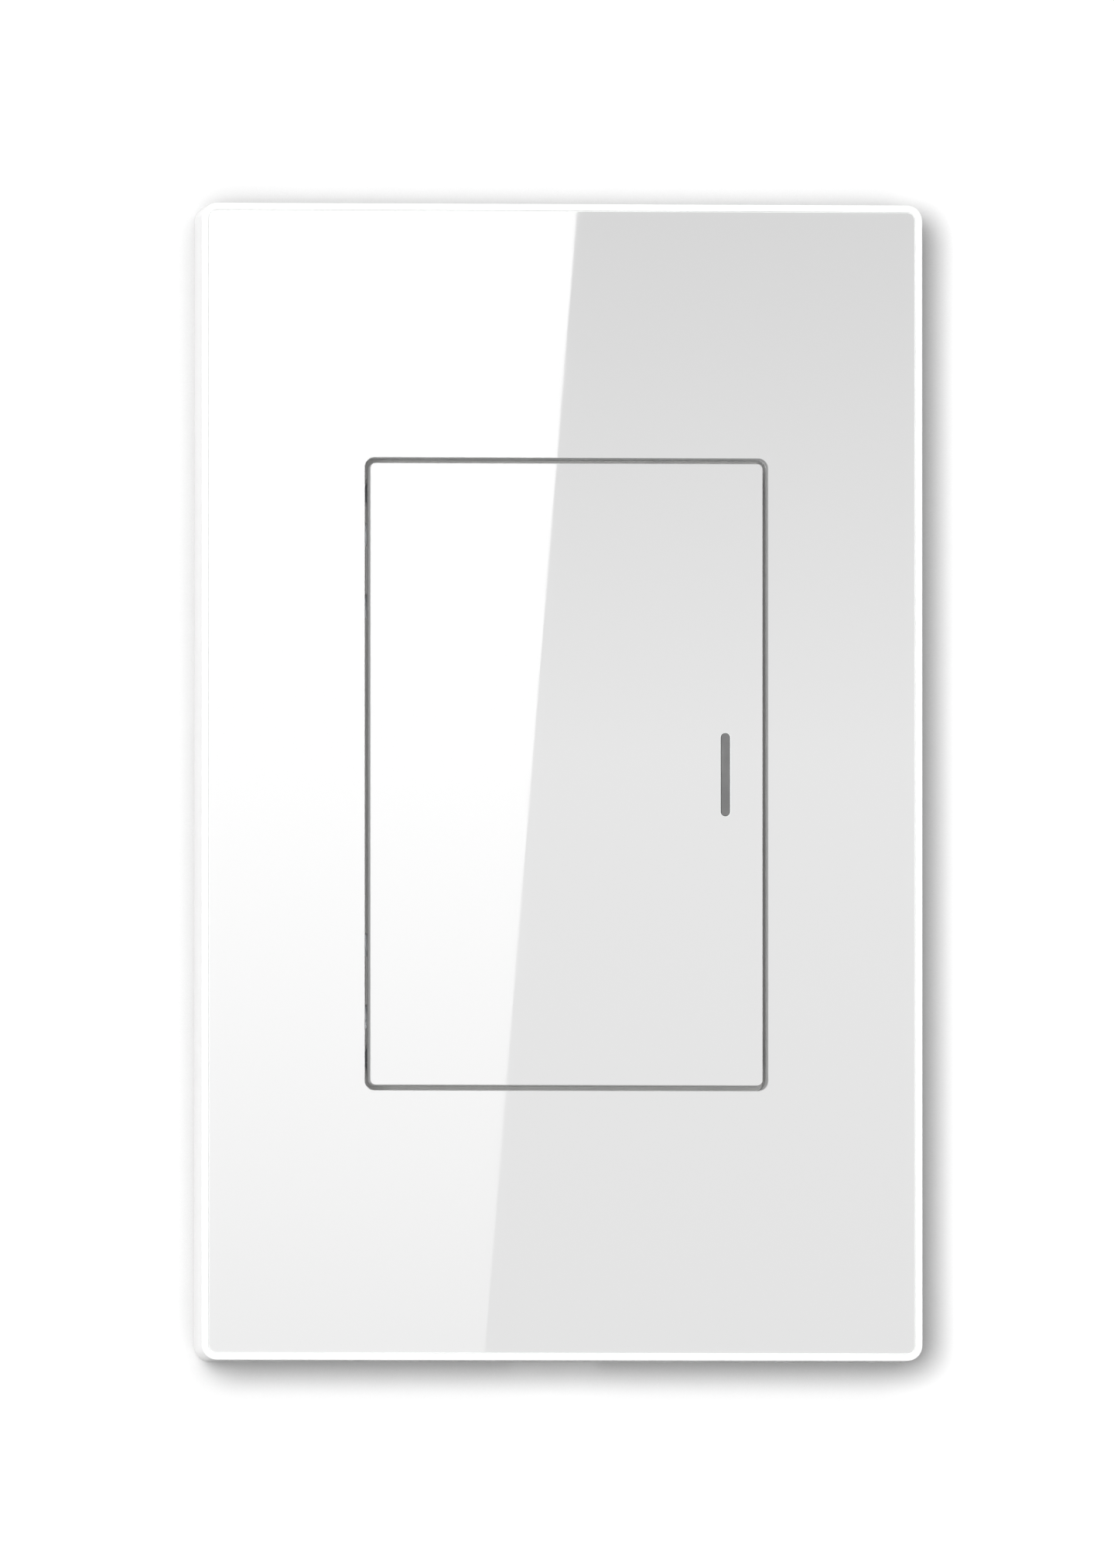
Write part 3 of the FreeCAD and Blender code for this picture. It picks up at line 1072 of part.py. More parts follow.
cut(block, "Z", "block_low", "cavity_low",
    [box(pole, ENTRY[0] + " - power_back", *ENTRY[1:]) for pole in POLES])
keep(block)

strip = new_body("contact_bar")
LOW_END = "(cavity_low - bar_seat + bar_slot_fit)"
add(strip, "Y", "bar_front", "bar_back",
    box("0", "(tail_high + %s) / 2" % LOW_END, "2 * bar_half", "tail_high - " + LOW_END))
add(strip, "Y", "tail_end", "bar_back", box("0", TAIL_Z, "2 * tail_half", "tail_thick"))
copies("contact_bars", strip, [(pole, "0", "0") for pole in POLES])

for rank, pole in enumerate(POLES, start=1):
    cage = new_body("terminal_clamp_%d" % rank, pole, "cage_front", "pole_z")
    CAGE_TALL = "(cage_back - cage_front)"
    add(cage, "Z", "cage_low - pole_z", "cage_high - pole_z", [
        box("0", CAGE_TALL + " / 2", "2 * cage_half", CAGE_TALL),
        box("0", "(cage_floor + %s - cage_nut) / 2" % CAGE_TALL, "2 * cage_half - 2 * cage_side",
            CAGE_TALL + " - cage_nut - cage_floor")])
    cut(cage, "Y", CAGE_TALL + " - cage_nut", CAGE_TALL,
        circle("0", "0", "clamp_screw_radius + clamp_screw_fit"))
    keep(cage)
    sizes = ("clamp_screw_radius", "clamp_head_radius", "clamp_head_tall", "clamp_head_front - clamp_screw_tip")
    place = (pole, "clamp_head_front", "pole_z")
    keep(screw("terminal_screw_%d" % rank, sizes, from_behind=True, place=place))

# Rear housing with screw columns, board ribs, vents and terminal recess
housing = new_body("rear_housing")
FLOOR = "(recess_floor - housing_wall)"
INSIDE = ("housing_width - 2 * housing_wall", "housing_height - 2 * housing_wall",
          "housing_radius - housing_wall")
add(housing, "Y", "0", "housing_back",
    round_box("0", "0", "housing_width", "housing_height", "housing_radius"))
dress(housing, "Fillet", "back_round", lambda edge: level(edge, number("housing_back")))
cut(housing, "Y", "0", FLOOR, round_box("0", "0", *INSIDE))
UPPER_LOW = "(recess_z + housing_wall)"
UPPER_HIGH = "(housing_height / 2 - housing_wall)"
cut(housing, "Y", FLOOR + " - housing_wall", "housing_back - housing_wall",
    round_box("0", "(%s + %s) / 2" % (UPPER_LOW, UPPER_HIGH), INSIDE[0],
              UPPER_HIGH + " - " + UPPER_LOW, INSIDE[2]))
cut(housing, "Y", "recess_floor", "housing_back + housing_wall",
    box("0", "(recess_z - housing_height) / 2", "2 * housing_width", "housing_height + recess_z"))
add(housing, "Y", "0", "recess_floor - housing_wall / 2", both(circle, "post_x", "post_z", "column_radius"))
add(housing, "Y", "0", "housing_back - housing_wall / 2",
    [circle("%s(post_x)" % sign, "post_z", "column_radius") for sign in ("", "-")])
cut(housing, "Y", "0", "column_hole_deep", both(circle, "post_x", "post_z", "screw_radius + thread_fit"))
RIB_X = "(housing_width - 2 * housing_wall - ledge_rib) / 2"
VENTS = 5
rows = [box("%s%s" % (sign, RIB_X), "%s * ledge_rib_z" % step, "2 * ledge_rib", "ledge_rib")
        for sign in ("", "-") for step in (-1, 0, 1)]
add(housing, "Y", "power_back", "housing_back - housing_wall / 2", rows)
add(housing, "Y", "power_back", "housing_back - housing_wall / 2",
    [box("%s(ledge_rib_z / 2)" % sign, UPPER_HIGH + " - ledge_rib / 2", "ledge_rib", "2 * ledge_rib")
     for sign in ("", "-")])
cut(housing, "Z", "-housing_height / 2", "-housing_height / 2 + housing_wall",
    [box(pole, *ENTRY) for pole in POLES])
cut(housing, "Y", FLOOR, "recess_floor", [circle(pole, "pole_z", "driver_radius") for pole in POLES])
cut(housing, "Y", "housing_back - housing_wall", "housing_back",
    [box("0", "vent_z - %d * vent_step" % rank, "vent_long", "vent_wide") for rank in range(VENTS)])
keep(housing)

doc.recompute()
for item in doc.Objects:
    assert "Invalid" not in item.State and "Error" not in item.State, item.Label
os.makedirs("parts", exist_ok=True)
for label, item in PARTS.items():
    shape = item.Shape
    assert not shape.isNull() and shape.isValid(), label
    shape.exportStep("parts/%s.step" % label)
print(len(PARTS), "pieces written")
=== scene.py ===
"""Looks of a wall light switch with a side-hinged glass key.

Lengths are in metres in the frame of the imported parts: Z is up, the face
looks towards -Y and the wall is the plane y = 0.
"""

import logging
import math
from dataclasses import dataclass, field
from enum import Enum
from typing import Any

import bmesh
import bpy
from mathutils import Matrix, Vector


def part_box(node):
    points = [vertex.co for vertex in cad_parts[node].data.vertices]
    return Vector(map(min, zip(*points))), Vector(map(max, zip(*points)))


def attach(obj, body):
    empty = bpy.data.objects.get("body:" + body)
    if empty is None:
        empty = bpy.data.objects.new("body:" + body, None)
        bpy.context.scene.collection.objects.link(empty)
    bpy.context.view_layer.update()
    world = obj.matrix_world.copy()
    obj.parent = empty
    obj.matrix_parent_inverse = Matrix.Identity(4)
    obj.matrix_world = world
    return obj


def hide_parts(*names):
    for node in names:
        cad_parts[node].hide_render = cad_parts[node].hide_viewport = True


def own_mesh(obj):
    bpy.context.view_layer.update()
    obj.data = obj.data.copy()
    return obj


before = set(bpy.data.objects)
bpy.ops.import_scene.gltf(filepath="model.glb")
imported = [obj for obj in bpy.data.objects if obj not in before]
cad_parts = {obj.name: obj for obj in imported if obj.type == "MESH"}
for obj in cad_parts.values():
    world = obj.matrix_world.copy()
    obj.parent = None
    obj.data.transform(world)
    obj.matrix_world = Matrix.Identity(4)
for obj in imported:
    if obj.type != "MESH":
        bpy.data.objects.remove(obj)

LOG = logging.getLogger("light_switch")
MM = 0.001
# Two corners nearer than this are one.
SAME_SPOT = 0.0005 * MM
# A corner this near a plane lies on it.
ON_PLANE = 0.001 * MM
# A corner this near a cut isn't cut off.
CUT_SNAP = 0.0001 * MM
WHITE = (1.0, 1.0, 1.0, 1.0)
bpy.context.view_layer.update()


class Way(Enum):
    """Which way a screw points along Y."""

    BACKWARD = 1
    FORWARD = -1


def linear(code: str) -> tuple[float, float, float, float]:
    """Turn an sRGB hex colour into linear light.

    Args:
        code: Colour such as "#D5D5D5".

    Returns:
        Red, green, blue and an alpha of 1.
    """
    parts = [int(code[start:start + 2], 16) / 255 for start in (1, 3, 5)]
    red, green, blue = [part / 12.92 if part <= 0.04045 else ((part + 0.055) / 1.055) ** 2.4
                        for part in parts]
    return red, green, blue, 1.0


def lighter(code: str, share: float) -> tuple[float, float, float, float]:
    """Linear colour of an sRGB hex code with its light scaled by a share."""
    red, green, blue, alpha = linear(code)
    return min(red * share, 1.0), min(green * share, 1.0), min(blue * share, 1.0), alpha


def add_node(tree: bpy.types.NodeTree, kind: str, feeds: dict[str, Any] | None = None,
             **settings: Any) -> bpy.types.Node:
    """Add one node with its settings, values and links.

    Args:
        tree: Node tree that gets the node.
        kind: Type name of the node.
        feeds: Input name or number, with a value or the socket that feeds it.
        **settings: Properties of the node itself.

    Returns:
        The new node.
    """
    node = tree.nodes.new(kind)
    for key, value in settings.items():
        setattr(node, key, value)
    for key, value in (feeds or {}).items():
        if isinstance(value, bpy.types.NodeSocket):
            tree.links.new(value, node.inputs[key])
        else:
            node.inputs[key].default_value = value
    return node


def per_metre(size_mm: float) -> float:
    """Texture scale whose features are about that many millimetres wide."""
    return 1.0 / (size_mm * MM)


def between(tree: bpy.types.NodeTree, share: bpy.types.NodeSocket | float,
            low: bpy.types.NodeSocket | tuple[float, ...],
            high: bpy.types.NodeSocket | tuple[float, ...]) -> bpy.types.NodeSocket:
    """Mix two colours, each linear or from a socket, by the share of the second."""
    return add_node(tree, "ShaderNodeMix", {0: share, 6: low, 7: high}, data_type="RGBA").outputs[2]


# Materials made so far, by name.
BUILT: dict[str, bpy.types.Material] = {}


@dataclass(frozen=True)
class Finish:
    """A surface with a fine grain, a slow drift of tone and soft edges.

    Attributes:
        name: What the surface is.
        colour: sRGB hex colour.
        roughness: Middle roughness.
        ior: Index of refraction, left at its default on metals.
        metallic: 0 or 1.
        grain_mm: Width of the grain.
        relief_mm: Height of the grain.
        cloud_mm: Width of the drift of tone.
        drift: Size of that drift, as a share of the colour.
        gloss_drift: How far the roughness wanders either way.
        edge_mm: Radius seen along edges, 0 for none.
        wear: How much lighter rubbed edges are, as a share.
        painted_glow: Painted light: a glow of the piece's own, where 1 is white, standing in for light that
            reaches the gap round the key and the pane edges.
    """

    name: str
    colour: str
    roughness: float
    ior: float = 1.5
    metallic: float = 0.0
    grain_mm: float = 0.35
    relief_mm: float = 0.004
    cloud_mm: float = 14.0
    drift: float = 0.02
    gloss_drift: float = 0.05
    edge_mm: float = 0.0
    wear: float = 0.0
    painted_glow: float = 0.0

    def noise(self, tree: bpy.types.NodeTree, place: bpy.types.NodeSocket, size_mm: float,
              detail: float = 2.0) -> bpy.types.NodeSocket:
        """Noise with features of one width, with finer layers of detail on top."""
        node = add_node(tree, "ShaderNodeTexNoise",
                        {"Vector": place, "Scale": per_metre(size_mm), "Detail": detail})
        return node.outputs[0]

    def tone(self, tree: bpy.types.NodeTree, place: bpy.types.NodeSocket) -> bpy.types.NodeSocket:
        """Colour with its slow drift."""
        return between(tree, self.noise(tree, place, self.cloud_mm),
                       lighter(self.colour, 1.0 - self.drift), lighter(self.colour, 1.0 + self.drift))

    def height(self, tree: bpy.types.NodeTree, place: bpy.types.NodeSocket) -> bpy.types.NodeSocket:
        """Height of the grain, from 0 to 1."""
        return self.noise(tree, place, self.grain_mm, 3.0)

    def rub(self, tree: bpy.types.NodeTree, soft: bpy.types.NodeSocket,
            colour: bpy.types.NodeSocket) -> bpy.types.NodeSocket:
        """Lighten the edges that hands and tools have rubbed.

        Args:
            tree: Node tree of the material.
            soft: Normal that is rounded over edges.
            colour: Colour before wear.

        Returns:
            The colour with its worn edges.
        """
        true = add_node(tree, "ShaderNodeNewGeometry").outputs["Normal"]
        lean = add_node(tree, "ShaderNodeVectorMath", {0: soft, 1: true}, operation="DOT_PRODUCT")
        edge = add_node(tree, "ShaderNodeMapRange", {
            "Value": lean.outputs["Value"], "From Min": 0.98, "From Max": 0.8, "To Min": 0.0, "To Max": 1.0})
        return between(tree, edge.outputs[0], colour, lighter(self.colour, 1.0 + self.wear))

    def build(self) -> bpy.types.Material:
        """Make the material once.

        Returns:
            The material.
        """
        if self.name in BUILT:
            return BUILT[self.name]
        material = bpy.data.materials.new(self.name)
        material.use_nodes = True
        tree = material.node_tree
        tree.nodes.clear()
        place = add_node(tree, "ShaderNodeTexCoord").outputs["Object"]
        colour = self.tone(tree, place)
        gloss = add_node(tree, "ShaderNodeMapRange", {
            "Value": self.noise(tree, place, self.cloud_mm * 0.4, 4.0),
            "From Min": 0.3, "From Max": 0.7,
            "To Min": max(self.roughness - self.gloss_drift, 0.0),
            "To Max": self.roughness + self.gloss_drift})
        bump = {"Strength": 1.0, "Distance": self.relief_mm * MM, "Height": self.height(tree, place)}
        if self.edge_mm:
            soft = add_node(tree, "ShaderNodeBevel", {"Radius": self.edge_mm * MM}, samples=4).outputs[0]
            bump["Normal"] = soft
            if self.wear:
                colour = self.rub(tree, soft, colour)
        normal = add_node(tree, "ShaderNodeBump", bump)
        feeds = {"Base Color": colour, "Roughness": gloss.outputs[0], "Normal": normal.outputs[0],
                 "Metallic": self.metallic}
        if not self.metallic:
            feeds["IOR"] = self.ior
        # Painted light: the piece glows on its own, though it is no lamp.
        if self.painted_glow:
            feeds.update({"Emission Color": WHITE, "Emission Strength": self.painted_glow})
        shader = add_node(tree, "ShaderNodeBsdfPrincipled", feeds)
        add_node(tree, "ShaderNodeOutputMaterial", {"Surface": shader.outputs[0]})
        BUILT[self.name] = material
        return material


@dataclass(frozen=True)
class DrawnMetal(Finish):
    """Metal drawn, rolled or brushed along one axis.

    Attributes:
        along: Axis of the marks, "X", "Y" or "Z".
    """

    metallic: float = 1.0
    along: str = "Z"

    def height(self, tree: bpy.types.NodeTree, place: bpy.types.NodeSocket) -> bpy.types.NodeSocket:
        """Fine marks stretched along one axis.

        Args:
            tree: Node tree of the material.
            place: Coordinates that it follows.

        Returns:
            The height socket.
        """
        stretch = [1.0 if axis != self.along else 0.03 for axis in "XYZ"]
        marks = add_node(tree, "ShaderNodeMapping", {"Vector": place, "Scale": stretch})
        return self.noise(tree, marks.outputs[0], self.grain_mm, 2.0)


@dataclass(frozen=True)
class Spangled(Finish):
    """Zinc coat with its crystals, each a flat patch of its own tone."""

    metallic: float = 1.0

    def tone(self, tree: bpy.types.NodeTree, place: bpy.types.NodeSocket) -> bpy.types.NodeSocket:
        """Colour that changes from one crystal to the next.

        Args:
            tree: Node tree of the material.
            place: Coordinates that it follows.

        Returns:
            The colour socket.
        """
        cells = add_node(tree, "ShaderNodeTexVoronoi", {"Vector": place, "Scale": per_metre(self.cloud_mm)})
        grey = add_node(tree, "ShaderNodeSeparateColor", {0: cells.outputs["Color"]})
        return between(tree, grey.outputs[0],
                       lighter(self.colour, 1.0 - self.drift), lighter(self.colour, 1.0 + self.drift))


@dataclass(frozen=True)
class Traced(Finish):
    """Circuit laminate with copper tracks under its green mask.

    Attributes:
        track_mm: Spacing of the tracks.
        track: Colour of the mask over copper.
    """

    track_mm: float = 2.2
    track: str = "#2E7A4A"

    def tone(self, tree: bpy.types.NodeTree, place: bpy.types.NodeSocket) -> bpy.types.NodeSocket:
        """Mask colour, lighter over the tracks.

        Args:
            tree: Node tree of the material.
            place: Coordinates that it follows.

        Returns:
            The colour socket.
        """
        base = super().tone(tree, place)
        cells = add_node(tree, "ShaderNodeTexVoronoi", {"Vector": place, "Scale": per_metre(self.track_mm)},
                         feature="F1", distance="MANHATTAN")
        band = add_node(tree, "ShaderNodeMapRange", {
            "Value": cells.outputs["Distance"], "From Min": 0.42, "From Max": 0.46,
            "To Min": 0.0, "To Max": 1.0})
        return between(tree, band.outputs[0], base, linear(self.track))


@dataclass(frozen=True)
class Wound(Finish):
    """Tape or wire wound in turns side by side.

    Attributes:
        turn_mm: Spacing of the turns.
    """

    turn_mm: float = 0.9

    def height(self, tree: bpy.types.NodeTree, place: bpy.types.NodeSocket) -> bpy.types.NodeSocket:
        """Rounded turns one beside another."""
        wave = add_node(tree, "ShaderNodeTexWave", {
            "Vector": place, "Scale": per_metre(self.turn_mm) / 20.0, "Distortion": 0.4},
            wave_type="BANDS", bands_direction="Y")
        return wave.outputs["Fac"]


# Float glass enamelled on its back: even pale grey with sharp, weak reflections.
FACE_GLASS = Finish("back_enamelled_float_glass", "#D4D4D4", 0.012, ior=1.52, grain_mm=18.0,
                    relief_mm=0.00002, cloud_mm=30.0, drift=0.004, gloss_drift=0.006)
# Ground edge of the same glass: frosted and pale, with a painted glow that stands in for the light travelling
# inside the pane.
GLASS_EDGE = Finish("ground_glass_edge", "#EEF2F0", 0.3, ior=1.52, grain_mm=0.12, relief_mm=0.002,
                    cloud_mm=6.0, drift=0.01, painted_glow=0.14)
# The same edge beside the gap round the key: matt and a darker grey as painted shade of the gap, with a
# weaker painted glow.
PAINTED_GAP_SHADE = Finish("painted_shade_beside_gap", "#A0A0A0", 0.45, grain_mm=0.12, relief_mm=0.002,
                  cloud_mm=6.0, drift=0.01, painted_glow=0.13)
# Injection-moulded polycarbonate: bright white with a satin mould grain, and a faint painted glow that
# lightens the gap.
FRAME_WHITE = Finish("moulded_white_polycarbonate", "#FAFAFA", 0.38, ior=1.58, grain_mm=0.25, relief_mm=0.001,
                     drift=0.006, edge_mm=0.12, wear=0.01, painted_glow=0.02)
# Double-sided acrylic foam: matt, open and slightly pitted.
FOAM = Finish("acrylic_foam_tape", "#E6E6E1", 0.85, ior=1.47, grain_mm=0.12, relief_mm=0.02, drift=0.04)
# Glass-filled moulding under the glass: off-white and dull, with a faint painted glow that lightens the gap.
KEY_WHITE = Finish("moulded_key_nylon", "#F4F4F3", 0.55, ior=1.53, grain_mm=0.2, relief_mm=0.004, drift=0.015,
                   edge_mm=0.15, wear=0.05, painted_glow=0.02)
# Smoked acrylic light guide, unlit: dark grey and satin.
DIFFUSER = Finish("smoked_acrylic_diffuser", "#5C5C5C", 0.5, ior=1.49, grain_mm=0.15, relief_mm=0.001,
                  cloud_mm=4.0, drift=0.02)
# Black nylon plunger: dark with a soft sheen.
BLACK_NYLON = Finish("moulded_black_nylon", "#26272A", 0.45, ior=1.53, grain_mm=0.15, relief_mm=0.003,
                     drift=0.06, edge_mm=0.1, wear=0.4)
# ABS mounting chassis: white, fine spark-eroded grain, and a faint painted glow that lightens the gap.
CHASSIS_WHITE = Finish("moulded_white_abs", "#F0F0EE", 0.6, ior=1.54, grain_mm=0.25, relief_mm=0.006,
                       drift=0.015, edge_mm=0.2, wear=0.06, painted_glow=0.02)
# Flame-retardant housing: warm white with a coarser grain and rubbed edges.
HOUSING_WHITE = Finish("moulded_housing_polycarbonate", "#E1E0DC", 0.55, ior=1.58, grain_mm=0.3,
                       relief_mm=0.01, cloud_mm=18.0, drift=0.02, edge_mm=0.25, wear=0.08)
# Hot-dip galvanised strip: cool grey crystals a few millimetres across.
ZINC_STRIP = Spangled("galvanised_steel_strip", "#B9BCBE", 0.38, grain_mm=0.3, relief_mm=0.002, cloud_mm=3.5,
                      drift=0.12, gloss_drift=0.1, edge_mm=0.1, wear=0.25)
# Hard-rolled spring strip: bright, with rolling marks along its length.
SPRING_STRIP = DrawnMetal("rolled_spring_steel", "#C2C2C0", 0.25, grain_mm=0.08, relief_mm=0.0015, along="Y")
# Electroplated zinc: clear bright plating with a faint blue cast.
PLATED = DrawnMetal("zinc_plated_screw_steel", "#C9CCD0", 0.22, grain_mm=0.15, relief_mm=0.001, cloud_mm=2.0,
                    drift=0.08, gloss_drift=0.08)
# Drawn brass clamps: warm yellow with fine marks.
BRASS = DrawnMetal("drawn_brass", "#D8B25F", 0.3, grain_mm=0.12, relief_mm=0.002, cloud_mm=3.0, drift=0.08,
                   edge_mm=0.08, wear=0.15)
# Green passivated earth screw: painted-looking green over steel.
EARTH_GREEN = Finish("green_passivated_steel", "#1F7A3D", 0.32, ior=1.5, grain_mm=0.2, relief_mm=0.002,
                     cloud_mm=2.0, drift=0.12, edge_mm=0.08, wear=0.5)
# Tinned copper and tin plate: soft, pale, slightly mottled.
TINNED = DrawnMetal("tinned_copper", "#CFCFCB", 0.35, grain_mm=0.1, relief_mm=0.002, cloud_mm=1.5, drift=0.08)
# Silicone stop pads: grey, matt, with a little grip.
SILICONE = Finish("moulded_silicone", "#BFBFBD", 0.7, ior=1.41, grain_mm=0.1, relief_mm=0.004, drift=0.03)
# Glass-epoxy laminate under green mask, tracks showing through.
LAMINATE = Traced("masked_glass_epoxy", "#17603A", 0.35, ior=1.55, grain_mm=0.3, relief_mm=0.003, drift=0.05)
# Cast epoxy lamps: pale, slightly yellow.
LAMP_EPOXY = Finish("cast_lamp_epoxy", "#F3EED2", 0.2, ior=1.54, grain_mm=0.2, relief_mm=0.001, drift=0.03)
# Relay case: blue polybutylene, semi-gloss, with flow marks.
RELAY_BLUE = Finish("moulded_blue_pbt", "#23448C", 0.35, ior=1.55, grain_mm=0.3, relief_mm=0.003,
                    cloud_mm=5.0, drift=0.06, edge_mm=0.2, wear=0.25)
# Pressed ferrite: near black, granular and matt.
FERRITE = Finish("pressed_ferrite", "#2B2B2E", 0.6, ior=2.2, grain_mm=0.12, relief_mm=0.01, cloud_mm=1.0,
                 drift=0.15, edge_mm=0.1, wear=0.5)
# Polyester tape over the windings: yellow, in rounded turns.
COIL_TAPE = Wound("polyester_winding_tape", "#D9B23A", 0.3, ior=1.58, relief_mm=0.03, cloud_mm=3.0,
                  drift=0.08)
# Moulded film capacitor box: ochre and semi-matt.
FILM_BOX = Finish("moulded_capacitor_box", "#C99A2E", 0.4, ior=1.55, grain_mm=0.25, relief_mm=0.004,
                  drift=0.05, edge_mm=0.2, wear=0.15)
# Shrunk sleeve on aluminium cans: blue-black with a soft shine.
SLEEVE = Finish("shrunk_pvc_sleeve", "#2A3040", 0.28, ior=1.54, grain_mm=0.8, relief_mm=0.006, cloud_mm=3.0,
                drift=0.1)
# Dipped varistor coat: blue, pebbled.
DIP_BLUE = Finish("dipped_epoxy_coat", "#2C5AA0", 0.5, ior=1.55, grain_mm=0.5, relief_mm=0.03, drift=0.08)
# Flameproof resistor paint: grey-green and matt.
RESISTOR = Finish("flameproof_resistor_paint", "#7F9A8B", 0.65, ior=1.5, grain_mm=0.2, relief_mm=0.01,
                  drift=0.06)


def dress(names: list[str], finish: Finish) -> None:
    """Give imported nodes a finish.

    Args:
        names: Nodes that get it.
        finish: The finish.
    """
    material = finish.build()
    for name in names:
        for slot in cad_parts[name].material_slots:
            slot.link = "OBJECT"
            slot.material = material
        LOG.info("dressed %s in %s", name, finish.name)


def finished(name: str, shape: bmesh.types.BMesh, finish: Finish, edge: Finish | None = None,
             smooth: float = 40.0) -> bpy.types.Object:
    """Turn a shape into a piece at the origin, in its finish.

    Faces square to Y are flat, and the others look round where they meet
    under a small angle.

    Args:
        name: Name of the piece.
        shape: Its shape, in place; it is freed here.
        finish: Its finish.
        edge: Finish of the faces that aren't square to Y, if it differs.
        smooth: Faces that meet under this many degrees look round.

    Returns:
        The piece.
    """
    bmesh.ops.remove_doubles(shape, verts=shape.verts, dist=SAME_SPOT)
    bmesh.ops.recalc_face_normals(shape, faces=shape.faces)
    for face in shape.faces:
        level = abs(face.normal.y) > 0.9999
        face.smooth = not level
        face.material_index = 0 if level or edge is None else 1
    for side in shape.edges:
        side.smooth = len(side.link_faces) == 2 and side.calc_face_angle(0.0) < math.radians(smooth)
    mesh = bpy.data.meshes.new(name)
    shape.to_mesh(mesh)
    shape.free()
    mesh.materials.append(finish.build())
    if edge is not None:
        mesh.materials.append(edge.build())
    piece = bpy.data.objects.new(name, mesh)
    bpy.context.scene.collection.objects.link(piece)
    return piece


def rounded_loop(shape: bmesh.types.BMesh, middle: Vector, width: float, height: float, radius: float,
                 segments: int = 12) -> list[bmesh.types.BMEdge]:
    """Closed upright outline with rounded corners, in a plane y = middle.y.

    Args:
        shape: Mesh that gets the outline.
        middle: Its middle.
        width: Size along X.
        height: Size along Z.
        radius: Corner radius.
        segments: Steps of each corner.

    Returns:
        The edges of the outline.
    """
    turn = Matrix.Rotation(math.radians(90), 4, "X")
    size = Matrix.Diagonal((width / 2, 1.0, height / 2, 1.0))
    made = bmesh.ops.create_grid(shape, x_segments=1, y_segments=1, size=1.0,
                                 matrix=Matrix.Translation(middle) @ size @ turn)
    bevel = bmesh.ops.bevel(shape, geom=made["verts"], offset=radius, offset_type="OFFSET", affect="VERTICES",
                            segments=segments, profile=0.5, material=-1)
    made_faces = (face for vert in bevel["verts"] for face in vert.link_faces)
    sheet = max(made_faces, key=lambda face: face.calc_area())
    edges = list(sheet.edges)
    bmesh.ops.delete(shape, geom=[sheet], context="FACES_ONLY")
    return edges


@dataclass
class GlassPane:
    """Pane with one opening, ground round its front edges.

    Attributes:
        name: Name of the piece.
        node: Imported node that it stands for.
        body: Body that it rides on.
        radius: Outer corner radius.
        hole_middle: Middle of the opening, X and Z.
        hole_size: Width and height of the opening.
        hole_radius: Corner radius of the opening.
        ground: Width of the ground edge.
        grow: How far the outside goes into its seat clearance.
        gap_in_hole: Whether the gap round the key is in the opening, or else round the outside.
    """

    name: str
    node: str
    body: str
    radius: float
    hole_middle: tuple[float, float]
    hole_size: tuple[float, float]
    hole_radius: float
    ground: float = 0.07 * MM
    grow: float = 0.0
    gap_in_hole: bool = True

    def beside_gap(self, spot: Vector) -> bool:
        """Whether an edge face at this place looks into the gap round the key."""
        width, height = (size / 2 + 2 * self.ground for size in self.hole_size)
        inside = abs(spot.x - self.hole_middle[0]) < width and abs(spot.z - self.hole_middle[1]) < height
        return inside == self.gap_in_hole

    def build(self) -> bpy.types.Object:
        """Make the pane in the room of its node.

        Returns:
            The pane.
        """
        low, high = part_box(self.node)
        shape = bmesh.new()
        middle = Vector(((low.x + high.x) / 2, low.y, (low.z + high.z) / 2))
        outer = rounded_loop(shape, middle, high.x - low.x + 2 * self.grow, high.z - low.z + 2 * self.grow,
                             self.radius)
        hole = Vector((self.hole_middle[0], low.y, self.hole_middle[1]))
        inner = rounded_loop(shape, hole, *self.hole_size, self.hole_radius)
        ring = bmesh.ops.bridge_loops(shape, edges=outer + inner)["faces"]
        grown = bmesh.ops.extrude_face_region(shape, geom=ring)["geom"]
        back = [item for item in grown if isinstance(item, bmesh.types.BMVert)]
        bmesh.ops.translate(shape, verts=back, vec=(0.0, high.y - low.y, 0.0))
        bmesh.ops.recalc_face_normals(shape, faces=shape.faces)
        front = [edge for edge in shape.edges
                 if all(abs(vert.co.y - low.y) < ON_PLANE for vert in edge.verts)
                 and edge.calc_face_angle(0.0) > math.radians(60)]
        bmesh.ops.bevel(shape, geom=front, offset=self.ground, offset_type="OFFSET", affect="EDGES",
                        segments=3, profile=0.5, material=-1)
        piece = finished(self.name, shape, FACE_GLASS, GLASS_EDGE, 30.0)
        # Edge faces that look into the gap round the key get the darker grey of the painted gap shade.
        piece.data.materials.append(PAINTED_GAP_SHADE.build())
        for face in piece.data.polygons:
            if face.material_index == 1 and self.beside_gap(face.center):
                face.material_index = 2
        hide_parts(self.node)
        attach(piece, self.body)
        return piece


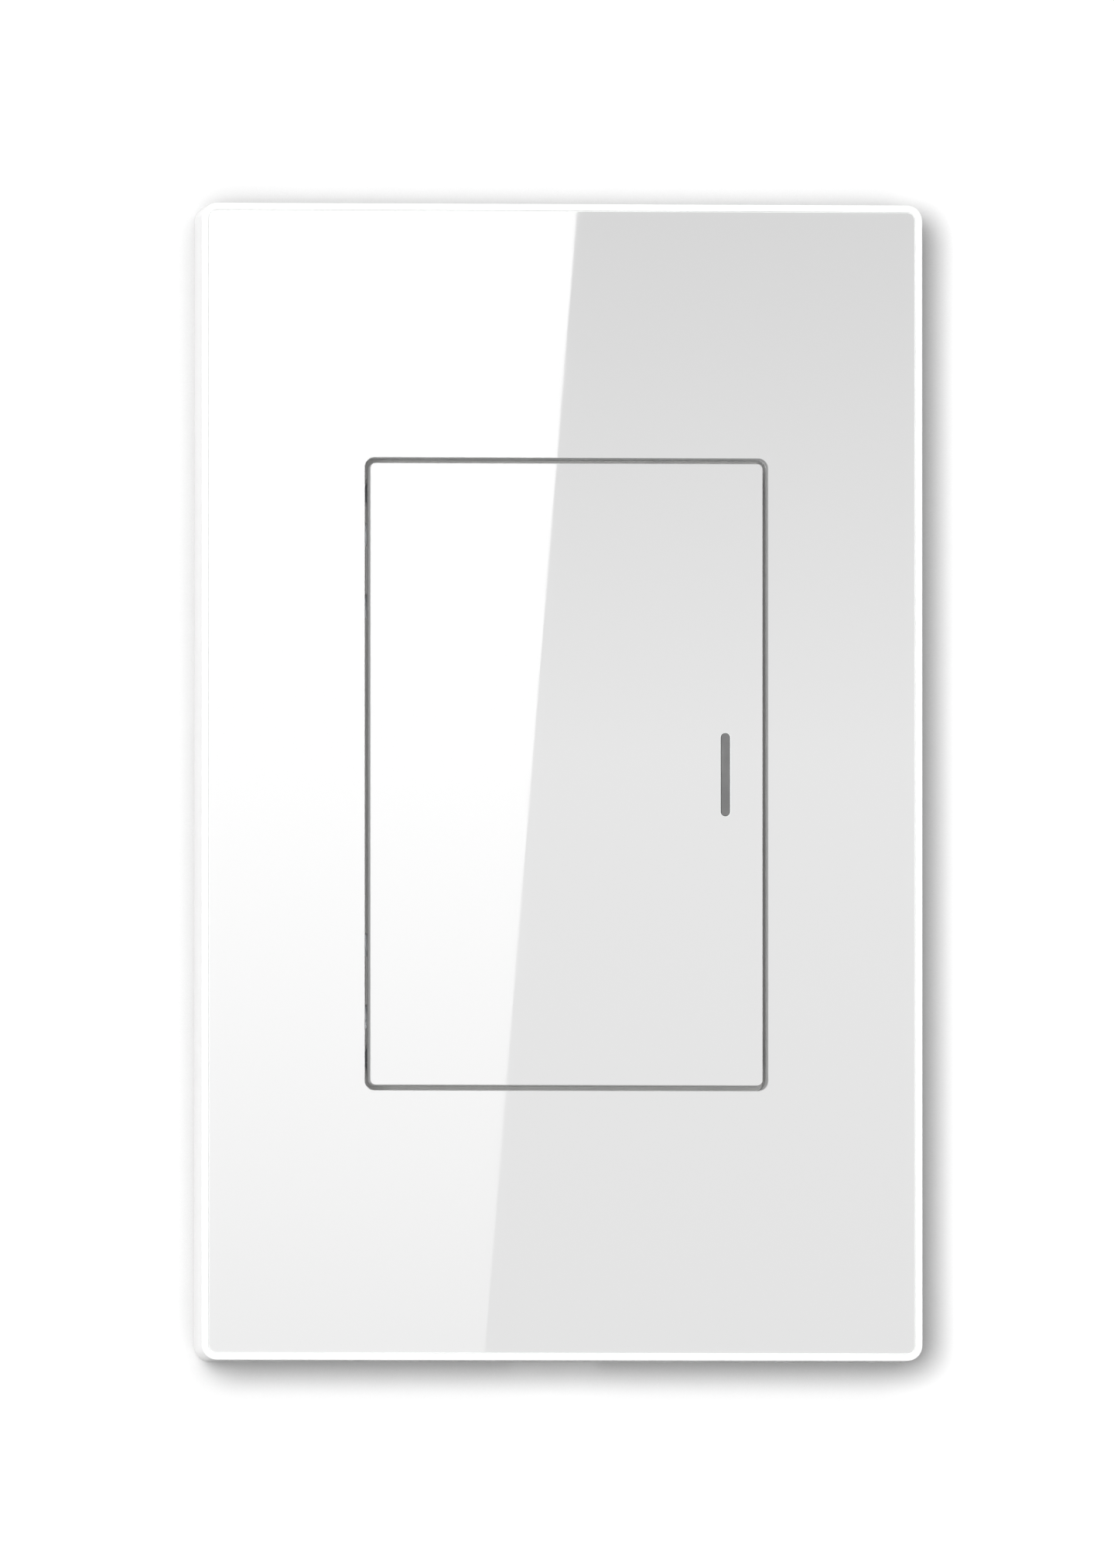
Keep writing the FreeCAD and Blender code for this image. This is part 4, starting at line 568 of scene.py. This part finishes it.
@dataclass
class CrossScrew:
    """Pan head screw with a rolled thread and a cross recess.

    Attributes:
        core: Radius under the thread.
        radius: Radius over the thread.
        pitch: Advance of the thread in one turn.
        head: Head radius.
        tall: Head height.
        length: Length below the head.
        arm: Half length of the cross recess.
        web: Half width of the cross recess.
        deep: Depth of the cross recess.
        slope: Slope round the head.
    """

    core: float
    radius: float
    pitch: float
    head: float
    tall: float
    length: float
    arm: float = 1.2 * MM
    web: float = 0.3 * MM
    deep: float = 0.8 * MM
    slope: float = 0.6 * MM

    def turned(self, shape: bmesh.types.BMesh, steps: int = 32) -> None:
        """Spin the head and shank about the Y axis, head towards -Y.

        Args:
            shape: Mesh that gets them.
            steps: Sides of the round.
        """
        rows = [(self.head - self.slope, -self.tall), (self.head, self.slope - self.tall), (self.head, 0.0),
                (self.core, 0.0), (self.core, self.length - self.core), (0.0, self.length)]
        spots = [shape.verts.new((across, along, 0.0)) for across, along in rows]
        edges = [shape.edges.new(pair) for pair in zip(spots, spots[1:])]
        bmesh.ops.spin(shape, geom=spots + edges, cent=(0, 0, 0), axis=(0, 1, 0), angle=math.tau, steps=steps,
                       use_merge=True)
        bmesh.ops.remove_doubles(shape, verts=shape.verts, dist=ON_PLANE)
        rim = [edge for edge in shape.edges if edge.is_boundary]
        bmesh.ops.holes_fill(shape, edges=rim, sides=0)

    def recess(self, shape: bmesh.types.BMesh) -> None:
        """Sink the cross into the head.

        Args:
            shape: Mesh with a flat head face at its front.
        """
        cuts = [(axis, sign * size) for axis in (0, 2) for sign in (-1, 1) for size in (self.web, self.arm)]
        for axis, place in cuts:
            top = [face for face in shape.faces
                   if all(abs(vert.co.y + self.tall) < ON_PLANE for vert in face.verts)]
            geom = top + list({edge for face in top for edge in face.edges}) \
                + list({vert for face in top for vert in face.verts})
            at = Vector((0.0, 0.0, 0.0))
            at[axis] = place
            way = Vector((0.0, 0.0, 0.0))
            way[axis] = 1.0
            bmesh.ops.bisect_plane(shape, geom=geom, dist=CUT_SNAP, plane_co=at, plane_no=way)
        cross = []
        for face in shape.faces:
            spot = face.calc_center_median()
            upright = abs(spot.x) < self.web and abs(spot.z) < self.arm
            level = abs(spot.z) < self.web and abs(spot.x) < self.arm
            if abs(spot.y + self.tall) < ON_PLANE and (upright or level):
                cross.append(face)
        sunk = bmesh.ops.extrude_face_region(shape, geom=cross)["geom"]
        bmesh.ops.delete(shape, geom=cross, context="FACES_ONLY")
        floor = [item for item in sunk if isinstance(item, bmesh.types.BMVert)]
        bmesh.ops.translate(shape, verts=floor, vec=(0.0, self.deep, 0.0))

    def thread(self, shape: bmesh.types.BMesh, start: float, end: float, steps: int = 20) -> None:
        """Wind the thread ridge along the shank.

        Args:
            shape: Mesh that gets the ridge.
            start: First place along the shank.
            end: Last place along the shank.
            steps: Steps in one turn.
        """
        turns = (end - start) / self.pitch
        half = self.pitch * 0.4
        # The ridge starts inside the core, so that no slit shows between them.
        root = self.core - 0.03 * MM
        corners = [shape.verts.new(spot) for spot in
                   ((root, start - half, 0.0), (self.radius, start, 0.0), (root, start + half, 0.0))]
        ridge = [shape.edges.new((corners[rank], corners[(rank + 1) % 3])) for rank in range(3)]
        count = max(int(turns * steps), 1)
        bmesh.ops.spin(shape, geom=corners + ridge, cent=(0, 0, 0), axis=(0, 1, 0),
                       dvec=(0.0, (end - start) / count, 0.0), angle=math.tau * turns, steps=count,
                       use_merge=False)
        open_ends = [edge for edge in shape.edges if edge.is_boundary]
        bmesh.ops.holes_fill(shape, edges=open_ends, sides=3)

    def solid(self, seat: Vector, way: Way, start: float, end: float) -> bmesh.types.BMesh:
        """Whole screw with its head seat at a place.

        Args:
            seat: Middle of the underside of its head.
            way: Which way the shank points.
            start: First place of the thread along the shank.
            end: Last place of the thread along the shank.

        Returns:
            The screw.
        """
        shape = bmesh.new()
        self.turned(shape)
        self.recess(shape)
        self.thread(shape, start, end)
        if way is Way.FORWARD:
            bmesh.ops.rotate(shape, verts=shape.verts, cent=(0, 0, 0),
                             matrix=Matrix.Rotation(math.pi, 3, "X"))
        bmesh.ops.translate(shape, verts=shape.verts, vec=seat)
        return shape


def merged(shapes: list[bmesh.types.BMesh]) -> bmesh.types.BMesh:
    """Put several shapes into one.

    Args:
        shapes: Shapes, each freed here.

    Returns:
        One shape that holds them all.
    """
    whole = bmesh.new()
    for shape in shapes:
        mesh = bpy.data.meshes.new("part")
        shape.to_mesh(mesh)
        shape.free()
        whole.from_mesh(mesh)
        bpy.data.meshes.remove(mesh)
    return whole


@dataclass
class FaceFrame:
    """White frame with its glass.

    Attributes:
        pane: The frame glass.
    """

    pane: GlassPane = field(default_factory=lambda: GlassPane(
        "frame_glass_pane", "frame_glass", "frame", 0.88 * MM, (0.0, 0.0), (41.9 * MM, 65.6 * MM), 1.0 * MM,
        grow=0.045 * MM))

    def build(self) -> list[bpy.types.Object]:
        """Make the glass and dress the rest.

        Returns:
            The new pieces.
        """
        dress(["frame_carrier"], FRAME_WHITE)
        dress(["frame_adhesive"], FOAM)
        return [self.pane.build()]


@dataclass
class GlassKey:
    """Key with its glass, light bar and springs.

    Attributes:
        pane: The key glass.
        hinge_x: Where the key turns; not used.
        crest_x: Where the springs touch the key; not used.
        turn: How far the key turns, in degrees; not used.
        slack: Room that a pressed spring keeps to the key; not used.
    """

    pane: GlassPane = field(default_factory=lambda: GlassPane(
        "key_glass_pane", "key_glass", "key", 0.6 * MM, (16.55 * MM, 0.0), (0.96 * MM, 8.64 * MM), 0.479 * MM,
        gap_in_hole=False))
    hinge_x: float = -18.6 * MM
    crest_x: float = 13.6 * MM
    turn: float = 1.2
    slack: float = 0.04 * MM

    def springs(self) -> bpy.types.Object:
        """Copy the return springs as a piece of their own, on the base.

        Returns:
            The springs.
        """
        shape = bmesh.new()
        shape.from_mesh(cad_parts["key_springs"].data)
        piece = finished("return_springs", shape, SPRING_STRIP)
        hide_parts("key_springs")
        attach(piece, "base")
        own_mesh(piece)
        return piece

    def build(self) -> list[bpy.types.Object]:
        """Make the glass and the springs, and dress the rest.

        Returns:
            The new pieces.
        """
        dress(["key_carrier"], KEY_WHITE)
        dress(["key_adhesive"], FOAM)
        dress(["light_bar"], DIFFUSER)
        dress(["stop_pads"], SILICONE)
        dress(["switch_plunger"], BLACK_NYLON)
        return [self.pane.build(), self.springs()]


@dataclass
class MountingPlate:
    """Chassis, steel yoke and their screws.

    Attributes:
        small: The housing screws.
        short: The chassis screws.
        earth: The earth screw.
    """

    small: CrossScrew = field(default_factory=lambda: CrossScrew(
        1.02 * MM, 1.3 * MM, 0.9 * MM, 2.3 * MM, 1.5 * MM, 8.0 * MM))
    short: CrossScrew = field(default_factory=lambda: CrossScrew(
        1.02 * MM, 1.3 * MM, 0.5 * MM, 2.3 * MM, 1.5 * MM, 1.9 * MM))
    earth: CrossScrew = field(default_factory=lambda: CrossScrew(
        1.45 * MM, 1.75 * MM, 0.7 * MM, 3.4 * MM, 2.2 * MM, 2.8 * MM))

    def screws(self, name: str, node: str, kind: CrossScrew, way: Way, finish: Finish) -> bpy.types.Object:
        """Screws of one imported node, one for each of its solids.

        Args:
            name: Name of the piece.
            node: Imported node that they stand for.
            kind: Kind of screw.
            way: Which way they point.
            finish: Their finish.

        Returns:
            The piece.
        """
        low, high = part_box(node)
        seat = low.y + kind.tall if way is Way.BACKWARD else high.y - kind.tall
        xs = {low.x + kind.head, high.x - kind.head} if high.x - low.x > 2.5 * kind.head \
            else {(low.x + high.x) / 2}
        zs = {low.z + kind.head, high.z - kind.head} if high.z - low.z > 2.5 * kind.head \
            else {(low.z + high.z) / 2}
        shapes = [kind.solid(Vector((x, seat, z)), way, kind.length * 0.3, kind.length - kind.core * 1.2)
                  for x in sorted(xs) for z in sorted(zs)]
        piece = finished(name, merged(shapes), finish)
        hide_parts(node)
        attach(piece, "base")
        return piece

    def build(self) -> list[bpy.types.Object]:
        """Make the screws and dress the rest.

        Returns:
            The new pieces.
        """
        dress(["chassis"], CHASSIS_WHITE)
        dress(["yoke"], ZINC_STRIP)
        dress(["frame_clips"], SPRING_STRIP)
        return [
            self.screws("chassis_screw_pair", "chassis_screws", self.short, Way.BACKWARD, PLATED),
            self.screws("housing_screw_set", "housing_screws", self.small, Way.BACKWARD, PLATED),
            self.screws("earth_screw", "ground_screw", self.earth, Way.FORWARD, EARTH_GREEN)]


@dataclass
class SwitchStack:
    """Boards with all that is soldered or plugged on them.

    Attributes:
        finishes: Nodes by finish.
    """

    finishes: list[tuple[Finish, list[str]]] = field(default_factory=lambda: [
        (LAMINATE, ["control_board", "power_board", "radio_module"]),
        (BLACK_NYLON, ["switch_base", "header_socket"]),
        (TINNED, ["switch_cover", "radio_shield", "board_header"]),
        (LAMP_EPOXY, ["indicator_leds"]),
        (KEY_WHITE, ["led_baffle"]),
        (RELAY_BLUE, ["relay"]),
        (FERRITE, ["transformer_core"]),
        (COIL_TAPE, ["transformer_winding"]),
        (FILM_BOX, ["filter_capacitor"]),
        (SLEEVE, ["bulk_capacitors"]),
        (DIP_BLUE, ["varistor"]),
        (RESISTOR, ["fuse_resistor"])])

    def build(self) -> list[bpy.types.Object]:
        """Dress every node of the stack.

        Returns:
            An empty list, as none is made anew.
        """
        for finish, names in self.finishes:
            dress(names, finish)
        return []


@dataclass
class Terminals:
    """Terminal block with its bars, cages and screws.

    Attributes:
        screw: The terminal screws.
    """

    screw: CrossScrew = field(default_factory=lambda: CrossScrew(
        1.2 * MM, 1.5 * MM, 0.7 * MM, 2.6 * MM, 2.0 * MM, 6.15 * MM,
        arm=1.5 * MM, web=0.35 * MM, slope=0.3 * MM))

    def build(self) -> list[bpy.types.Object]:
        """Make the screws and dress the rest.

        Returns:
            The new pieces.
        """
        dress(["terminal_block"], HOUSING_WHITE)
        dress(["contact_bars"], TINNED)
        pieces = []
        for rank in (1, 2, 3):
            dress(["terminal_clamp_%d" % rank], BRASS)
            node = "terminal_screw_%d" % rank
            low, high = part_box(node)
            seat = Vector(((low.x + high.x) / 2, high.y - self.screw.tall, (low.z + high.z) / 2))
            shape = self.screw.solid(seat, Way.FORWARD, 0.6 * MM, self.screw.length - 1.4 * MM)
            piece = finished("clamp_screw_%d" % rank, shape, PLATED)
            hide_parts(node)
            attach(piece, "screw_%d" % rank)
            pieces.append(piece)
        return pieces


@dataclass
class BackHousing:
    """Moulded housing behind the wall."""

    def build(self) -> list[bpy.types.Object]:
        """Dress the housing; it is not made anew."""
        dress(["rear_housing"], HOUSING_WHITE)
        return []


@dataclass(frozen=True)
class SunLamp:
    """Distant soft lamp.

    Attributes:
        name: Name of the lamp.
        towards: Way that its light goes.
        strength: Light on a facing surface, where 1 shows white as white.
        spread: Width of the lamp as an angle in degrees.
        mirrored: Whether shiny surfaces mirror it.
    """

    name: str
    towards: tuple[float, float, float]
    strength: float
    spread: float = 20.0
    mirrored: bool = False

    def build(self) -> None:
        """Hang the lamp."""
        data = bpy.data.lights.new(self.name, "SUN")
        data.energy = self.strength * math.pi
        data.angle = math.radians(self.spread)
        lamp = bpy.data.objects.new(self.name, data)
        lamp.visible_glossy = self.mirrored
        lamp.rotation_mode = "QUATERNION"
        lamp.rotation_quaternion = Vector(self.towards).to_track_quat("-Z", "Y")
        bpy.context.scene.collection.objects.link(lamp)


@dataclass(frozen=True)
class LightPanel:
    """Panel that only mirror rays see, with a vertical fall of light.

    Attributes:
        name: Name of the panel.
        left: Edge of its reflection, as X on the glass at the top and at the bottom.
        right: The other edge, in the same way.
        strength: Its brightest light, where 1 is white.
        fall: Heights on the glass, each with its share of the light.
    """

    name: str
    left: tuple[float, float]
    right: tuple[float, float]
    strength: float
    fall: tuple[tuple[float, float], ...]


# The key lamp throws the shadow to the right and down. The fills come from behind the
# wall plane, so they light the sides of the frame and neither its face nor the wall.
LAMPS = (
    SunLamp("key_lamp", (0.24, 1.0, -0.075), 0.93, 27.0, True),
    SunLamp("left_fill", (1.0, -0.3, 0.0), 0.57),
    SunLamp("right_fill", (-1.0, -0.3, 0.0), 0.22),
    SunLamp("top_fill", (0.0, -0.3, -1.0), 0.25),
    SunLamp("low_fill", (0.0, -0.3, 1.0), 0.06),
    SunLamp("rear_lamp", (-0.35, -1.0, -0.45), 0.38, 30.0, True))


@dataclass
class Studio:
    """Camera, wall, floor, lamps and the light panels that the glass mirrors.

    Attributes:
        azimuth: Camera angle round Z in degrees, 0 from the front.
        elevation: Camera angle above the horizon in degrees.
        lens: Focal length in millimetres.
        view_tall: Height of the picture at the face.
        aim: Point of the face at the middle of the picture.
        face_y: Plane of the glass.
        panel_y: Plane of the light panels.
        wall_y: Plane of the wall.
        wall_size: Side of the wall.
        wall_lap: How far the wall goes under the frame.
        chassis_gap: Gap between the wall and the chassis.
        floor_z: Height of the floor.
        floor_half: Half the side of the floor.
        shade_reach: Distance within which a piece darkens the wall beside it, as painted contact shade.
        shade_share: How strong that painted contact shade is.
        world_light: Light of the surroundings on matt surfaces.
        wall_glow: Light that the camera alone sees on the wall.
        floor_glow: Light that the camera alone sees on the floor.
        panel_top: Height on the glass that the panels reach, up and down.
        panel_side: Distance from the middle that they reach, left and right.
        split: Two points on the glass, X and Z, of the edge between the panels.
    """

    azimuth: float = -4.8
    elevation: float = -2.0
    lens: float = 1000.0
    view_tall: float = 162.63 * MM
    aim: Vector = field(default_factory=lambda: Vector((-1.0 * MM, -10.0 * MM, -1.02 * MM)))
    face_y: float = -9.9 * MM
    panel_y: float = -0.45
    wall_y: float = 0.05 * MM
    wall_size: float = 1.6
    wall_lap: float = 1.0 * MM
    chassis_gap: float = 0.02 * MM
    floor_z: float = -125.0 * MM
    floor_half: float = 12.0
    shade_reach: float = 6.0 * MM
    shade_share: float = 0.95
    world_light: float = 0.14
    wall_glow: float = 0.09
    floor_glow: float = 0.6
    panel_top: float = 75.0 * MM
    panel_side: float = 70.0 * MM
    split: tuple[tuple[float, float], tuple[float, float]] = (
        (1.04 * MM, 57.86 * MM), (-8.47 * MM, -59.42 * MM))

    def camera(self) -> bpy.types.Object:
        """Place the camera.

        Returns:
            The camera.
        """
        data = bpy.data.cameras.new("studio_camera")
        data.lens = self.lens
        camera = bpy.data.objects.new("studio_camera", data)
        bpy.context.scene.collection.objects.link(camera)
        bpy.context.scene.camera = camera
        turn, rise = math.radians(self.azimuth), math.radians(self.elevation)
        back = Vector((math.sin(turn) * math.cos(rise), -math.cos(turn) * math.cos(rise), math.sin(rise)))
        away = self.lens / data.sensor_width * self.view_tall
        camera.location = self.aim + back * away
        camera.rotation_mode = "QUATERNION"
        camera.rotation_quaternion = (-back).to_track_quat("-Z", "Y")
        data.clip_start, data.clip_end = 0.05, 100.0
        return camera

    def screen(self, name: str, glow: float) -> bpy.types.Material:
        """White sheet material that shows shadows and a painted contact shade beside nearby pieces, and that
        the camera sees through from behind.

        Args:
            name: Name of the material.
            glow: Light added for the camera alone.

        Returns:
            The material.
        """
        material = bpy.data.materials.new(name)
        material.use_nodes = True
        tree = material.node_tree
        tree.nodes.clear()
        place = add_node(tree, "ShaderNodeTexCoord").outputs["Object"]
        speck = add_node(tree, "ShaderNodeTexNoise", {"Vector": place, "Scale": per_metre(3.0)})
        tint = between(tree, speck.outputs[0], linear("#FDFDFD"), linear("#FFFFFF"))
        path = add_node(tree, "ShaderNodeLightPath")
        # Painted contact shade: an ambient occlusion node darkens the sheet's colour near pieces, on top of
        # the lamps' real shadows.
        near = add_node(tree, "ShaderNodeAmbientOcclusion", {"Color": tint, "Distance": self.shade_reach},
                        samples=8)
        touch = between(tree, self.shade_share, tint, near.outputs["Color"])
        # Matt surfaces get little light back from the sheet, so that it doesn't flood the piece.
        dull = between(tree, path.outputs["Is Diffuse Ray"], touch, linear("#646464"))
        paper = add_node(tree, "ShaderNodeBsdfDiffuse", {"Color": dull})
        lit = add_node(tree, "ShaderNodeEmission", {"Strength": glow})
        dark = add_node(tree, "ShaderNodeEmission", {"Strength": 0.0})
        gate = add_node(tree, "ShaderNodeMixShader", {0: path.outputs["Is Camera Ray"], 1: dark.outputs[0],
                                                      2: lit.outputs[0]})
        front = add_node(tree, "ShaderNodeAddShader", {0: paper.outputs[0], 1: gate.outputs[0]})
        side = add_node(tree, "ShaderNodeNewGeometry").outputs["Backfacing"]
        clear = add_node(tree, "ShaderNodeMath", {0: side, 1: path.outputs["Is Camera Ray"]},
                         operation="MULTIPLY")
        see = add_node(tree, "ShaderNodeBsdfTransparent")
        mix = add_node(tree, "ShaderNodeMixShader", {0: clear.outputs[0], 1: front.outputs[0],
                                                     2: see.outputs[0]})
        add_node(tree, "ShaderNodeOutputMaterial", {"Surface": mix.outputs[0]})
        return material

    def sheet(self, name: str, shape: bmesh.types.BMesh, material: bpy.types.Material,
              facing: Vector) -> bpy.types.Object:
        """Stage object from a flat shape.

        Args:
            name: Name of the object.
            shape: Its shape, freed here.
            material: Its material.
            facing: Way that its front looks.

        Returns:
            The object.
        """
        shape.normal_update()
        turned = [face for face in shape.faces if face.normal.dot(facing) < 0]
        bmesh.ops.reverse_faces(shape, faces=turned)
        mesh = bpy.data.meshes.new(name)
        shape.to_mesh(mesh)
        shape.free()
        mesh.materials.append(material)
        item = bpy.data.objects.new(name, mesh)
        bpy.context.scene.collection.objects.link(item)
        item.visible_shadow = False
        return item

    def ring(self, shape: bmesh.types.BMesh, outer: tuple[Vector, float, float, float],
             inner: tuple[Vector, float, float, float]) -> None:
        """Flat upright ring between two rounded outlines.

        Args:
            shape: Mesh that gets the ring.
            outer: Middle, width, height and corner radius of its outside.
            inner: The same of its inside.
        """
        edges = rounded_loop(shape, *outer) + rounded_loop(shape, *inner)
        bmesh.ops.bridge_loops(shape, edges=edges)

    def behind(self, node: str, more: float) -> tuple[Vector, float, float, float]:
        """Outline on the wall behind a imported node.

        Args:
            node: The node.
            more: How much wider and taller than the node it is.

        Returns:
            Its middle, width, height and corner radius.
        """
        low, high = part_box(node)
        middle = Vector(((low.x + high.x) / 2, self.wall_y, (low.z + high.z) / 2))
        return middle, high.x - low.x + more, high.z - low.z + more, 1.0 * MM

    def wall(self) -> None:
        """Wall that is open behind the frame, and the strip of it that shows when the frame is off."""
        plaster = self.screen("painted_plaster_wall", self.wall_glow)
        opening = self.behind("frame_carrier", -2 * self.wall_lap)
        shape = bmesh.new()
        self.ring(shape, (opening[0], self.wall_size, self.wall_size, 0.01), opening)
        self.sheet("wall", shape, plaster, Vector((0, -1, 0)))
        strip = bmesh.new()
        self.ring(strip, opening, self.behind("chassis", 2 * self.chassis_gap))
        margin = self.sheet("wall_by_chassis", strip, plaster, Vector((0, -1, 0)))
        margin.visible_diffuse = False
        margin.visible_glossy = False
        margin.visible_transmission = False

    def floor(self) -> None:
        """Pale floor well below the switch."""
        shape = bmesh.new()
        bmesh.ops.create_grid(shape, x_segments=1, y_segments=1, size=self.floor_half,
                              matrix=Matrix.Translation((0.0, 0.0, self.floor_z)))
        self.sheet("floor", shape, self.screen("pale_studio_floor", self.floor_glow), Vector((0, 0, 1)))

    def mirrored(self, camera: bpy.types.Object, across: float, up: float) -> Vector:
        """Place on the panel plane that the camera sees at a point of the glass.

        Args:
            camera: The camera.
            across: X of the point on the glass.
            up: Z of the point on the glass.

        Returns:
            The place on the panel plane.
        """
        eye = camera.location.copy()
        eye.y = 2 * self.face_y - eye.y
        spot = Vector((across, self.face_y, up))
        share = (self.panel_y - eye.y) / (spot.y - eye.y)
        return eye + (spot - eye) * share

    def panel(self, kind: LightPanel, camera: bpy.types.Object) -> None:
        """Hang a light panel where the glass mirrors it.

        Args:
            kind: The panel.
            camera: The camera.
        """
        shape = bmesh.new()
        corners = ((kind.left[0], self.panel_top), (kind.right[0], self.panel_top),
                   (kind.right[1], -self.panel_top), (kind.left[1], -self.panel_top))
        shape.faces.new([shape.verts.new(self.mirrored(camera, across, up)) for across, up in corners])
        material = bpy.data.materials.new(kind.name)
        material.use_nodes = True
        tree = material.node_tree
        tree.nodes.clear()
        place = add_node(tree, "ShaderNodeTexCoord").outputs["Object"]
        height = add_node(tree, "ShaderNodeSeparateXYZ", {0: place}).outputs["Z"]
        bottom = self.mirrored(camera, 0.0, -self.panel_top).z
        top = self.mirrored(camera, 0.0, self.panel_top).z
        share = add_node(tree, "ShaderNodeMapRange", {
            "Value": height, "From Min": bottom, "From Max": top, "To Min": 0.0, "To Max": 1.0})
        ramp = add_node(tree, "ShaderNodeValToRGB", {0: share.outputs[0]})
        ramp.color_ramp.interpolation = "LINEAR"
        stops = ramp.color_ramp.elements
        while len(stops) < len(kind.fall):
            stops.new(0.5)
        for stop, (up, light) in zip(stops, kind.fall):
            stop.position = (up + self.panel_top) / (2 * self.panel_top)
            stop.color = (light, light, light, 1.0)
        lamp = add_node(tree, "ShaderNodeEmission", {"Color": ramp.outputs[0], "Strength": kind.strength})
        add_node(tree, "ShaderNodeOutputMaterial", {"Surface": lamp.outputs[0]})
        item = self.sheet(kind.name, shape, material, Vector((0, 1, 0)))
        item.visible_camera = False
        item.visible_diffuse = False
        item.visible_transmission = False
        item.visible_volume_scatter = False

    def panels(self, camera: bpy.types.Object) -> None:
        """Hang the bright and the soft panel edge to edge, which the glass mirrors as a slanted edge.

        Args:
            camera: The camera.
        """
        (high_x, high_z), (low_x, low_z) = self.split
        lean = (high_x - low_x) / (high_z - low_z)
        edge = (high_x + (self.panel_top - high_z) * lean, low_x - (self.panel_top + low_z) * lean)
        side = self.panel_side
        self.panel(LightPanel("bright_panel", (-side, -side), edge, 8.7, (
            (-75 * MM, 0.5), (-60 * MM, 0.58), (0.0, 0.99), (75 * MM, 1.03))), camera)
        self.panel(LightPanel("soft_panel", edge, (side, side), 3.7, (
            (-75 * MM, 0.87), (-58 * MM, 0.89), (2 * MM, 1.0), (59 * MM, 0.26), (75 * MM, 0.18))), camera)

    def world(self) -> None:
        """White surroundings that light the object at a plain level."""
        world = bpy.data.worlds.new("white_surroundings")
        bpy.context.scene.world = world
        world.use_nodes = True
        tree = world.node_tree
        tree.nodes.clear()
        path = add_node(tree, "ShaderNodeLightPath")
        seen = add_node(tree, "ShaderNodeMath", {0: path.outputs["Is Camera Ray"],
                                                 1: path.outputs["Is Glossy Ray"]}, operation="MAXIMUM")
        through = add_node(tree, "ShaderNodeMath", {
            0: seen.outputs[0], 1: path.outputs["Is Transmission Ray"]}, operation="MAXIMUM")
        plain = add_node(tree, "ShaderNodeBackground", {"Color": WHITE, "Strength": self.world_light})
        white = add_node(tree, "ShaderNodeBackground", {"Color": WHITE, "Strength": 1.0})
        mix = add_node(tree, "ShaderNodeMixShader", {0: through.outputs[0], 1: plain.outputs[0],
                                                     2: white.outputs[0]})
        add_node(tree, "ShaderNodeOutputWorld", {"Surface": mix.outputs[0]})

    def build(self) -> None:
        """Set up the whole studio."""
        camera = self.camera()
        self.wall()
        self.floor()
        self.panels(camera)
        for lamp in LAMPS:
            lamp.build()
        self.world()
        bpy.context.scene.view_settings.view_transform = "Standard"


def main() -> None:
    """Build the studio and every sub-assembly, then log the face count of each new piece."""
    logging.basicConfig(level=logging.INFO, format="%(message)s")
    Studio().build()
    for part in (FaceFrame(), GlassKey(), MountingPlate(), SwitchStack(), Terminals(), BackHousing()):
        for piece in part.build():
            LOG.info("made %s with %d faces", piece.name, len(piece.data.polygons))


if __name__ == "__main__":
    main()
